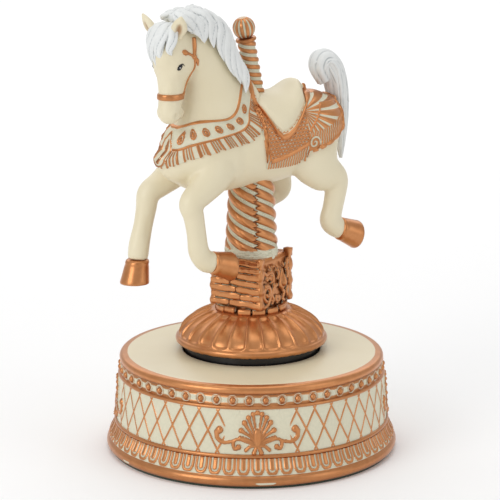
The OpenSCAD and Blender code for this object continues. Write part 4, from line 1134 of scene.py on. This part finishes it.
# ---------------------------------------------------------------------------------------------
# Hooves: flared bells cast on the legs and painted copper, with a hollow sole and its frog.
# Each is turned from one section, then its toe is drawn out.
# ---------------------------------------------------------------------------------------------
def hoof(place, tilt):
    section = [(0, 0.2), (4.3, 0.0), (4.9, 0.5), (5.15, 1.3), (5.0, 2.0), (5.2, 3.0), (5.6, 5.6), (6.05, 8.2),
               (6.3, 9.5), (6.2, 10.0), (5.7, 10.0), (5.2, 9.7), (4.9, 9.2), (4.6, 8.8), (3.0, 8.6), (0, 8.7)]
    bm = turned(section, 72)
    for vert in bm.verts:
        x, y, z = (c * 1000 for c in vert.co)
        heel = max(0.0, -x) / 6
        in_sole = z > 8.3 and math.hypot(x, y) < 4.4
        ridge = 1.0 * math.exp(-(y / (0.55 + 0.9 * heel)) ** 2) * (1 if x < 2.2 else 0)
        frog = ridge if in_sole else 0
        grow = 1 + 0.05 * math.sin(2.6 * z) * (0 if z > 8.2 or z < 2.5 else 0.25)
        vert.co = Vector((x * grow * (1 - 0.06 * heel) + 1.6 * z / 10, y * grow, z + frog)) * 0.001
    seat = HORSE @ Matrix.Translation(Vector(place) * 0.001) @ Matrix.Rotation(math.radians(tilt), 4, "Y")
    placed(bm, seat @ Matrix.Diagonal((-1, 1, 1, 1)))
    bmesh.ops.recalc_face_normals(bm, faces=bm.faces)
    return bm


hoof_seats = [((28.4, 12, -27.6), 262), ((49.4, -12, -28), 180), ((-37, 12, -21.2), 256),
              ((-11.4, -15.4, -15.6), 142)]
finish_piece("hoof_castings", gather([hoof(*seat) for seat in hoof_seats]), "turntable",
             ("hooves",),
             paint={"copper": 1.0, "wash": 0.0, "shade": 0.08})


# ---------------------------------------------------------------------------------------------
# Eyes: almond drops of black gloss enamel with a lash line, painted on the head, and a white
# catch-light over each, which is a painted highlight.
# ---------------------------------------------------------------------------------------------
def enamel(name, colour):
    """Gloss enamel, brushed on in one coat: smooth, with faint brush waves."""
    material, tree, shader = new_material(name)
    place = node(tree, "ShaderNodeTexCoord").outputs["Object"]
    wave = noise(tree, place, 700.0, 2.0)
    bump = node(tree, "ShaderNodeBump", Height=wave, Strength=0.05, Distance=mm(0.1))
    tree.links.new(bump.outputs["Normal"], shader.inputs["Normal"])
    shader.inputs["Base Color"].default_value = linear(colour)
    shader.inputs["Roughness"].default_value = 0.12
    return material


def on_skin(points, wide, deep, around=16, along=40, shape=None, lift=0.0):
    """A strip laid on the horse's skin through places on its head."""
    bm = bmesh.new()
    spots, _ = snap(np.array([head_point(*p) for p in points]), lift)
    curve = line_points(spots, 6)
    spots, _ = snap(curve, lift)
    t = np.linspace(0, 1, len(spots))
    sizes = np.stack([np.interp(t, np.linspace(0, 1, len(wide)), wide),
                      np.interp(t, np.linspace(0, 1, len(deep)), deep)], 1)
    tube(bm, np.hstack([spots, sizes]), around=around, along=along, shape=shape, faces_out=skin_out)
    return placed(mould(bm), HORSE)


def eyes():
    dark, glint = [], []
    for side in (1, -1):
        dark.append(on_skin([(11.4, side * 7.0, 3.4), (12.4, side * 7.0, 4.8), (13.2, side * 6.6, 6.2)],
                            (0.25, 1.0, 1.15, 0.9, 0.15), (0.2, 0.46, 0.56, 0.45, 0.15), around=20, along=24))
        dark.append(on_skin([(11.8, side * 7.2, 2.0), (10.9, side * 7.2, 3.6), (11.3, side * 6.8, 5.8)],
                            (0.08, 0.26, 0.28, 0.1), (0.1, 0.22, 0.22, 0.1), around=10, along=20))
        # Painted highlight: a small white catch-light lifted over each eye.
        glint.append(on_skin([(12.0, side * 7.0, 5.0), (12.4, side * 7.0, 5.2)], (0.18, 0.3, 0.18),
                             (0.1, 0.2, 0.1),
                             around=12, along=8, lift=0.46))
    finish_piece("eye_drops", gather(dark), "turntable", ("eyes",),
                 material=enamel("black_enamel", "0b0b0d"))
    finish_piece("eye_lights", gather(glint), "turntable", ("eyes",),
                 material=enamel("white_painted_highlight", "f4f6f8"))


eyes()


# ---------------------------------------------------------------------------------------------
# Bridle: copper straps cast on the head, a noseband, cheek straps that meet it at a ring, and a
# knot behind each eye with the stub of a browband, its bead and a loose end.
# ---------------------------------------------------------------------------------------------
def strap_section(turn, u):
    return 1 / (np.abs(np.cos(turn)) ** 4 + np.abs(np.sin(turn)) ** 4) ** 0.25


def bridle():
    parts = []
    loop = [(24.6, 5.8 * math.cos(a), 1.8 + 6.2 * math.sin(a))
            for a in np.linspace(-math.pi / 2, 1.5 * math.pi, 13)]
    parts.append(on_skin(loop, (1.25,) * 3, (0.62,) * 3, around=20, along=120, shape=strap_section))
    for side in (1, -1):
        def at(x, y, z):
            return (x, side * y, z)
        parts.append(on_skin([at(0.6, 7.0, -4.0), at(4.0, 7.4, -3.8), at(8.2, 7.6, -3.2)],
                             (0.85, 0.95, 0.9), (0.5, 0.6, 0.6), along=40, shape=strap_section))
        parts.append(on_skin([at(8.4, 7.6, -3.4), at(13.0, 7.0, -5.0), at(17.0, 6.0, -5.2),
                              at(21.0, 5.0, -3.6),
                              at(24.0, 4.6, -2.2)], (0.5, 0.45, 0.5, 0.95, 0.8), (0.5, 0.5, 0.5, 0.6, 0.6),
                             along=90))
        parts.append(on_skin([at(8.2, 7.8, -3.0), at(7.0, 7.8, -0.2), at(5.4, 7.4, 3.0)],
                             (0.6, 0.55, 0.6, 0.5),
                             (0.5, 0.5, 0.5), along=40))
        parts.append(on_skin([at(7.0, 7.8, 0.6), at(6.2, 7.6, 2.2), at(5.4, 7.2, 3.8)], (0.4, 1.05, 1.1, 0.4),
                             (0.4, 1.0, 1.0, 0.4), around=24, along=30))
        parts.append(on_skin([at(7.2, 7.8, -3.6), at(8.3, 7.8, -3.4), at(9.5, 7.6, -3.3)],
                             (0.5, 1.25, 1.25, 0.5),
                             (0.5, 1.0, 1.0, 0.5), around=24, along=30,
                             shape=lambda turn, u: 1 + 0.14 * np.cos(3 * turn + 6 * u)))
        parts.append(on_skin([at(8.6, 7.6, -3.8), at(9.8, 7.2, -5.8), at(11.8, 7.0, -6.8)], (0.7, 0.85, 0.25),
                             (0.5, 0.55, 0.3), along=30))
        ring = [at(24.4 + 1.35 * math.cos(a), 4.6, -2.0 + 1.35 * math.sin(a))
                for a in np.linspace(0, math.tau, 11)]
        parts.append(on_skin(ring, (0.42,) * 3, (0.75,) * 3, around=12, along=60))
    finish_piece("bridle_straps", gather(parts), "turntable", ("bridle",),
                 paint={"copper": 1.0, "wash": 0.0, "shade": 0.1})


bridle()


# ---------------------------------------------------------------------------------------------
# Breast collar and saddle: modelled on the horse as low relief, with copper piping, bosses,
# fringes and a scaled flap, and the pale wash left in the hollows.
# ---------------------------------------------------------------------------------------------
def draped(columns, rows, ray_of, dress, wall=1.0):
    """A skin laid over the horse. ray_of(u, v) gives where each line starts and its direction, from inside;
    dress(u, v, places) gives its height over the horse and its copper, wash and shade."""
    bm = bmesh.new()
    layers = [bm.verts.layers.float.new(title) for title in ("copper", "wash", "shade")]
    lay = bm.verts.layers.float_vector.new("lay")
    verts = bmesh.ops.create_grid(bm, x_segments=columns, y_segments=rows, size=0.5)["verts"]
    bm.verts.index_update()
    uv = np.array([v.co[:2] for v in verts]) + 0.5
    origins, ways = ray_of(uv[:, 0], uv[:, 1])
    found = [first_skin(o, d) for o, d in zip(origins, ways)]
    spots = np.array([f[0] for f in found])
    outs = unit(np.array([f[1] for f in found]) + 0.7 * ways)
    height, copper, wash, shade = dress(uv[:, 0], uv[:, 1], spots)
    for i, vert in enumerate(verts):
        vert.co = Vector(spots[i] + outs[i] * height[i]) * 0.001
        vert[lay] = outs[i]
        for layer, values in zip(layers, (copper, wash, shade)):
            vert[layer] = float(values[i])
    grown = bmesh.ops.extrude_face_region(bm, geom=bm.faces[:], use_keep_orig=True)["geom"]
    for vert in grown:
        if isinstance(vert, bmesh.types.BMVert):
            vert.co -= vert[lay] * mm(wall)
    bm.verts.layers.float_vector.remove(lay)
    return placed(mould(bm), HORSE)


def hump(value, middle, half):
    return rounded(np.abs(value - middle), half)


def teeth(value, period, share):
    """1 on the tabs and 0 in the gaps of a fringe, with soft edges."""
    phase = np.abs((value / period) % 1 - 0.5) * 2
    return 1 - ramp(phase, share - 0.12, share + 0.12)


def breast_collar():
    lean = math.radians(38)
    forward = np.array([math.cos(lean), 0, -math.sin(lean)])
    upward = np.array([math.sin(lean), 0, math.cos(lean)])
    heart = np.array([22.0, 0, 33.0])
    top, low = 7.2, -8.2

    def ray_of(u, v):
        a = (u - 0.5) * math.tau
        ways = np.cos(a)[:, None] * forward + np.sin(a)[:, None] * np.array([0, 1.0, 0])
        sag = 9.0 * np.exp(-((np.abs(a) - 1.9) / 0.85) ** 2)
        front = np.exp(-(a / 0.85) ** 2)
        return heart + ((low + (top - low) * v) * (1 - 0.4 * front) + 2.6 * front - sag)[:,
                                                                                         None] * upward, ways

    ring_u = np.linspace(0, 1, 361)
    origins, ways = ray_of(ring_u, np.full(361, 0.55))
    ring = np.array([first_skin(o, d)[0] for o, d in zip(origins, ways)])
    run = np.concatenate([[0], np.cumsum(np.linalg.norm(np.diff(ring, axis=0), axis=1))])
    run -= np.interp(0.5, ring_u, run)

    def dress(u, v, spots):
        s = np.interp(u, ring_u, run)
        w = low + (top - low) * v
        side = np.abs(s)
        pipes = np.maximum(hump(w, 6.2, 0.62), hump(w, -0.9, 0.62))
        band = ramp(w, -1.2, -0.6) * (1 - ramp(w, 5.9, 6.6))
        to_boss = np.hypot((side - 4.4) % 6.0 - 3.0, w - 2.6)
        reach = (side > 4.6) & (side < 46.4)
        ring_r = hump(to_boss, 1.35, 0.36) * reach
        dome_r = rounded(to_boss, 0.92) * reach
        petal = np.hypot(s / 3.6, (w + 0.6) / 5.8)
        medal = (petal < 1.0)
        rim = hump(petal, 0.88, 0.1)
        leaf = rounded(np.hypot(s / 1.3, (w + 0.6) / 3.6), 1.0) + 0.5 * hump((np.abs(s) - (w + 4) * 0.4), 0,
                                                                             0.5) * medal
        wide = teeth(s + 0.5, 5.4, 0.52)
        edge_of_tab = hump(np.abs((s + 0.5) / 5.4 % 1 - 0.5) * 5.4, 1.15,
                           0.35) * (np.abs((s + 0.5) / 5.4 % 1 - 0.5) * 5.4 < 1.6)
        strand = teeth(s, 0.95, 0.55)
        end = np.where(wide > 0.5, -7.3, -6.7 + 0.5 * np.sin(s * 2.1))
        fringe = (w < -1.4) & (w > end)
        cloth = np.where(fringe, np.where(wide > 0.5, 0.4 + 0.55 * edge_of_tab, 0.2 + 0.55 * strand), 0.0)
        height = 0.45 * band + 0.75 * pipes + 0.6 * ring_r + 0.95 * dome_r + cloth
        height = np.where(medal & (w < 5.4), 0.8 + 0.55 * rim + 0.5 * leaf, height)
        gone = (w < -1.6) & ~fringe & ~medal
        height = np.where(gone | (w > 6.9), -0.7, height)
        copper = np.maximum.reduce([ramp(pipes, 0.2, 0.6), ramp(ring_r, 0.2, 0.6), ramp(dome_r, 0.2, 0.5)])
        copper = np.where(fringe, np.where(wide > 0.5, 0.3 + 0.65 * edge_of_tab, strand * 0.9), copper)
        copper = np.where(medal, np.maximum(ramp(rim, 0.3, 0.7), 0.75 * ramp(leaf, 0.3, 0.8)), copper)
        # Painted shade: darker between the fringe strands and on the copper away from the crests of the
        # piping.
        shade = np.where(fringe, 0.45 * (1 - strand) * (wide < 0.5), 0.0) + 0.2 * (1 - pipes) * (copper > 0.3)
        return height, copper, np.where(gone, 0.0, 0.9), np.clip(shade, 0, 1)

    finish_piece("breast_collar_relief", draped(620, 74, ray_of, dress), "turntable",
                 ("breast_collar",))


def side_reach(xs, hem_z, top_z=22.0):
    """How far round from the spine each hem lies, as angles, for stations along the back."""
    angles = np.linspace(0.05, 2.3, 70)
    reach = []
    for x, z in zip(xs, hem_z):
        zs = np.array([first_skin(np.array([x, 0, top_z]), np.array([0, math.sin(a), math.cos(a)]))[0][2]
                       for a in angles])
        below = np.where(zs < z)[0]
        reach.append(angles[below[0]] if len(below) else angles[-1])
    return np.array(reach)


def over_back(xs, hem_z, front, back):
    """Rays for a skin that hangs over the back down to a hem on each side."""
    reach = side_reach(xs, hem_z)

    def ray_of(u, v):
        x = back + (front - back) * u
        a = (v - 0.5) * 2 * np.interp(x, xs, reach)
        ways = np.stack([np.zeros_like(a), np.sin(a), np.cos(a)], axis=1)
        return np.stack([x, np.zeros_like(x), np.full_like(x, 22.0)], axis=1), ways
    return ray_of


SEAT_X = np.array([-27.0, -24.6, -20.0, -14.6, -10.4, -7.0, -4.0, -1.2, 1.2, 3.6, 6.5])
SEAT_Z = np.array([40.0, 37.0, 32.5, 27.5, 23.4, 21.4, 21.2, 24.0, 28.6, 34.6, 40.0])


def saddle_cloth():
    xs = np.array([-40.4, -39.6, -38.2, -34, -30, -25, -17.9, -17.1, -13, -6, 0.8, 2.8, 4.6, 5.8])
    hem = np.array([33, 26.5, 21.8, 18.8, 17.0, 15.6, 14.6, 10.2, 8.6, 6.2, 4.8, 9.4, 20, 30])
    front, back = 5.8, -40.4
    ray_of = over_back(xs, hem, front, back)

    def dress(u, v, spots):
        x = back + (front - back) * u
        z = spots[:, 2]
        drop = z - np.interp(x, xs, hem)
        on_side = ramp(np.abs(spots[:, 1]), 3.0, 7.0)
        gap = np.interp(x, SEAT_X, SEAT_Z) - z
        flap = x > -17.5
        row = np.floor(z / 1.3)
        beside = (x / 1.7 + 0.5 * (row % 2)) % 1 - 0.5
        scales = hump(np.hypot(beside * 1.7, (1 - z / 1.3 % 1) * 1.3), 0.8, 0.34)
        stripe_at = 8.0
        stripe = rounded(drop - stripe_at, 0.95)
        strand = teeth(x + 0.12 * np.sin(z * 2), 1.25, 0.55)
        wide = teeth(x + 1.0, 4.8, 0.5)
        end = np.where(wide > 0.5, 0.7, 1.5 + 0.8 * np.sin(x * 2.7))
        lower = flap & (drop < stripe_at - 0.9)
        cut = lower & (drop < end)
        front_pipe = hump(x - 3.6, 0.0, 0.6) * (z > 6)
        rear = ~flap
        fan_angle = np.arctan2(z - 31.0, x + 17.0)
        fan = np.abs(np.sin(fan_angle * 13.0))
        border = hump(drop, 1.2, 0.7) * rear
        tail_edge = hump(x, -38.6, 0.7) * rear
        turn = np.hypot(x + 20.4, z - 18.6)
        curl = np.abs(((np.arctan2(z - 18.6, x + 20.4) / math.tau - turn / 1.9) % 1) - 0.5) * 2
        scroll = (turn < 3.0) & rear
        fringe = rear & (drop > 1.9) & (drop < 8.0) & ~scroll
        outer = hump(gap, 7.0, 0.55) * rear * (drop > 7.4)
        height = 0.75 + np.where(lower, 0.45 * strand - 0.35, 0)
        height = height + np.where(flap & (drop > stripe_at + 1.0), 0.42 * np.clip(scales, 0, 1), 0)
        height = height + 0.55 * np.where(flap, stripe, 0) + 0.6 * front_pipe
        height = height + np.where(rear & ~fringe & ~scroll, 0.45 * fan, 0) + np.where(fringe,
                                                                                       0.45 * strand, 0)
        height = height + 0.65 * np.maximum(border, tail_edge) + 0.5 * outer
        height = np.where(scroll, 0.9 + 0.7 * (1 - curl), height)
        height = np.where(cut | (np.abs(v - 0.5) > 0.496) | (u < 0.008) | (u > 0.992), -0.8, height)
        copper = np.where(lower, strand * 0.95, 0.0)
        copper = np.where(flap & ~lower, 0.5 + 0.45 * np.clip(scales, 0, 1), copper)
        copper = np.maximum(copper, np.where(flap, ramp(stripe, 0.1, 0.4), 0))
        copper = np.where(rear & ~fringe & ~scroll, 0.3 + 0.62 * ramp(fan, 0.35, 0.75), copper)
        copper = np.where(fringe, 0.25 + 0.65 * strand, copper)
        copper = np.where(scroll, 0.2 + 0.8 * ramp(1 - curl, 0.3, 0.6), copper)
        copper = np.maximum.reduce([copper, ramp(border, 0.2, 0.5), ramp(tail_edge, 0.2, 0.5),
                                    ramp(outer, 0.2, 0.5),
                                    ramp(front_pipe, 0.2, 0.5)])
        copper = np.where(on_side > 0.3, copper, 0.85)
        # Painted shade: darker between the scales of the flap and between the fringe strands, none on the
        # stripe.
        shade = 0.3 * np.where(flap & ~lower, 1 - np.clip(scales * 1.6, 0, 1), 0) + 0.3 * (1 - strand) * lower
        shade = shade * (1 - np.where(flap, stripe, 0))
        return height, copper, np.full_like(x, 0.9), np.clip(shade, 0, 1)

    finish_piece("saddle_cloth_relief", draped(420, 420, ray_of, dress), "turntable",
                 ("saddle_cloth",))


def saddle_seat():
    front, back = 6.5, -28.0
    ray_of = over_back(SEAT_X, SEAT_Z, front, back)

    def dress(u, v, spots):
        x = back + (front - back) * u
        off = np.abs(v - 0.5) * 2
        reach = (1 - off) * np.interp(x, SEAT_X, 17.0 - 0.2 * np.abs(SEAT_X + 8))
        edge = np.minimum.reduce([reach, (x - back) * 0.9, (front - x) * 0.9])
        pipe = hump(edge, 0.95, 0.8)
        pad = 1.3 + 1.5 * ramp(edge, 1.2, 6.0)
        spine = np.exp(-(off / 0.62) ** 2)
        cantle = 3.8 * np.exp(-((x + 21.5) / 5.6) ** 2) * np.exp(-(off / 0.55) ** 4)
        pommel = 1.0 * np.exp(-((x - 4.0) / 2.6) ** 2) * spine
        height = np.where(edge > 0.2,
                          pad + cantle + pommel + 0.85 * pipe * (1 - ramp(edge, 1.2, 2.0) * 0.4), -0.6)
        # Painted shade: the last value returned darkens the groove inside the piping.
        dip = 0.35 * hump(edge, 2.1, 0.5)
        return height - dip, ramp(pipe, 0.25, 0.55), np.zeros_like(x), 0.25 * hump(edge, 2.1, 0.5)

    finish_piece("saddle_seat", draped(190, 190, ray_of, dress, wall=1.4), "turntable",
                 ("saddle",))


breast_collar()
saddle_cloth()
saddle_seat()


# ---------------------------------------------------------------------------------------------
# Upper pole: a two-strand rope casting that stands in the saddle, with a ring and a fluted ball,
# painted copper over the pale wash.
# ---------------------------------------------------------------------------------------------
POLE = HORSE @ Matrix.Translation((mm(-2.4), 0, mm(37.7))) @ Matrix.Rotation(math.radians(12), 4, "Y")
pole_h, pole_r, ball_r = 24.0, 3.9, 4.8


def pole():
    pitch, starts = 3.4, 2
    section = [(0.0, 0.4)]
    section += [(pole_r - 0.75, 0.4 + (pole_h - 0.5) * t) for t in np.linspace(0, 1, 220)]
    section += [(0.0, pole_h)]
    bm = turned(section, 120)
    p = places(bm)
    angle = np.arctan2(p[:, 1], p[:, 0])
    phase = (p[:, 2] / pitch + starts * angle / math.tau) % 1
    roll = np.sin(np.clip(phase / 0.74, 0, 1) * math.pi) ** 0.6
    radius = np.hypot(p[:, 0], p[:, 1])
    press_out(bm, np.where(radius > 1, 0.72 * roll + 0.2 * hump(phase, 0.87, 0.08), 0))
    # Painted shade: darker copper between the strands of the rope.
    finish_piece("pole_rope", placed(bm, POLE), "turntable", ("upper_pole",),
                 paint={"copper": ramp(roll, 0.4, 0.72) * 0.92, "wash": 1.0,
                        "shade": 0.45 * (1 - ramp(roll, 0.5, 1.0))})


def pole_ring():
    section = [(0, pole_h)] + arc_points(pole_r - 0.3, pole_h + 0.8, 0.8, -80, 80, 12) + [(0, pole_h + 1.6)]
    bm = turned(section, 96)
    finish_piece("pole_ring", placed(bm, POLE), "turntable", ("pole_collar",),
                 paint={"copper": 0.8, "wash": 1.0, "shade": 0.25})


def ball():
    gores = 12
    middle = pole_h + 1.6 + ball_r - 0.6
    section = [(max(ball_r * math.cos(math.radians(a)), 0.0), middle + ball_r * math.sin(math.radians(a)))
               for a in np.linspace(-62, 90, 60)]
    bm = turned([(0, section[0][1])] + section, 192)
    p = places(bm)
    angle = np.arctan2(p[:, 1], p[:, 0])
    lat = np.clip((p[:, 2] - middle) / ball_r, -1, 1)
    gore = np.abs((angle / math.tau * gores) % 1 - 0.5) * 2
    open_up = 1 - ramp(np.abs(lat), 0.72, 0.98)
    press_out(bm, -0.55 * open_up * ramp(gore, 0.55, 0.95) - 0.05)
    copper = np.maximum(1 - ramp(gore, 0.5, 0.8) * open_up,
                        0) * 0.9 - 0.5 * (np.abs(lat) > 0.93) * (gore > 0.3)
    # Painted shade: darker in the open flutes of the ball.
    finish_piece("pole_ball", placed(bm, POLE), "turntable", ("finial_ball",),
                 paint={"copper": copper, "wash": 1.0, "shade": 0.4 * ramp(gore, 0.3, 0.6) * open_up})


pole()
pole_ring()
ball()


# ---------------------------------------------------------------------------------------------
# Movement, felt and screws: bought-in parts that keep their own shapes and get their metals
# and plastics.
# ---------------------------------------------------------------------------------------------
def metal(name, colour, roughness, stretch=(1, 1, 1), grain=300.0, depth=0.08):
    """Machined or cast metal: fine tool marks, a little uneven in gloss and tone."""
    material, tree, shader = new_material(name)
    place = node(tree, "ShaderNodeTexCoord").outputs["Object"]
    laid = node(tree, "ShaderNodeMapping", Vector=place, Scale=stretch).outputs["Vector"]
    marks = noise(tree, laid, grain, 6.0)
    base = linear(colour)
    dull = tuple(c * 0.78 for c in base[:3]) + (1.0,)
    tone = blend(tree, noise(tree, place, 90.0, 3.0), base, dull)
    gloss = node(tree, "ShaderNodeMapRange", Value=marks, To_Min=roughness - 0.06, To_Max=roughness + 0.1)
    bump = node(tree, "ShaderNodeBump", Height=marks, Strength=depth, Distance=mm(0.1))
    tree.links.new(tone, shader.inputs["Base Color"])
    tree.links.new(gloss.outputs["Result"], shader.inputs["Roughness"])
    tree.links.new(bump.outputs["Normal"], shader.inputs["Normal"])
    shader.inputs["Metallic"].default_value = 1.0
    return material


def plain(name, colour, other, roughness, scale, depth, sheen=0.0):
    """Plastic, felt or nylon: matt, with a fine surface of its own."""
    material, tree, shader = new_material(name)
    place = node(tree, "ShaderNodeTexCoord").outputs["Object"]
    grain = noise(tree, place, scale, 6.0, Roughness=0.7)
    bump = node(tree, "ShaderNodeBump", Height=grain, Strength=depth, Distance=mm(0.2))
    tree.links.new(blend(tree, grain, linear(colour), linear(other)), shader.inputs["Base Color"])
    tree.links.new(bump.outputs["Normal"], shader.inputs["Normal"])
    shader.inputs["Roughness"].default_value = roughness
    shader.inputs["Sheen Weight"].default_value = sheen
    return material


brushed = metal("brushed_nickel_plated_steel", "c9c8c4", 0.3, (1, 1, 14))
spring = metal("blued_spring_steel", "7a8290", 0.26, (1, 1, 10))
ground_comb = metal("ground_comb_steel", "b9bbbd", 0.32, (1, 12, 1))
brass = metal("turned_brass", "d2a64e", 0.28, (8, 1, 1))
zinc = metal("die_cast_zinc", "a3a5a6", 0.45, grain=700.0, depth=0.18)
black_disc = plain("satin_black_abs", "0d0d0f", "19181a", 0.28, 500.0, 0.1)
green_felt = plain("dark_green_felt", "3b4a3e", "27332b", 0.95, 1400.0, 0.9, 0.4)
black_cover = plain("moulded_black_polystyrene", "18181a", "242427", 0.5, 900.0, 0.3)
nylon = plain("moulded_white_nylon", "e6e2d6", "d8d3c4", 0.45, 400.0, 0.1)

FINISHES = {
    brushed: ("cover_screws", "movement_screws", "comb_screws", "disc_screws", "winding_key", "key_arbor",
              "output_spindle", "cylinder_arbor", "relay_arbor", "relay_pinion", "ratchet_wheel", "click"),
    spring: ("mainspring",),
    ground_comb: ("comb",),
    brass: ("pinned_cylinder", "cylinder_pinion", "cylinder_gear", "spring_barrel", "barrel_lid",
            "governor_worm"),
    zinc: ("bedplate", "governor_bracket"),
    black_disc: ("turntable_disc",),
    green_felt: ("felt_ring",),
    black_cover: ("bottom_cover",),
    nylon: ("worm_wheel", "crown_wheel", "governor_fan"),
}
for finish, names in FINISHES.items():
    for name in names:
        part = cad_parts[name]
        part.data.materials.clear()
        part.data.materials.append(finish)

bpy.context.view_layer.update()
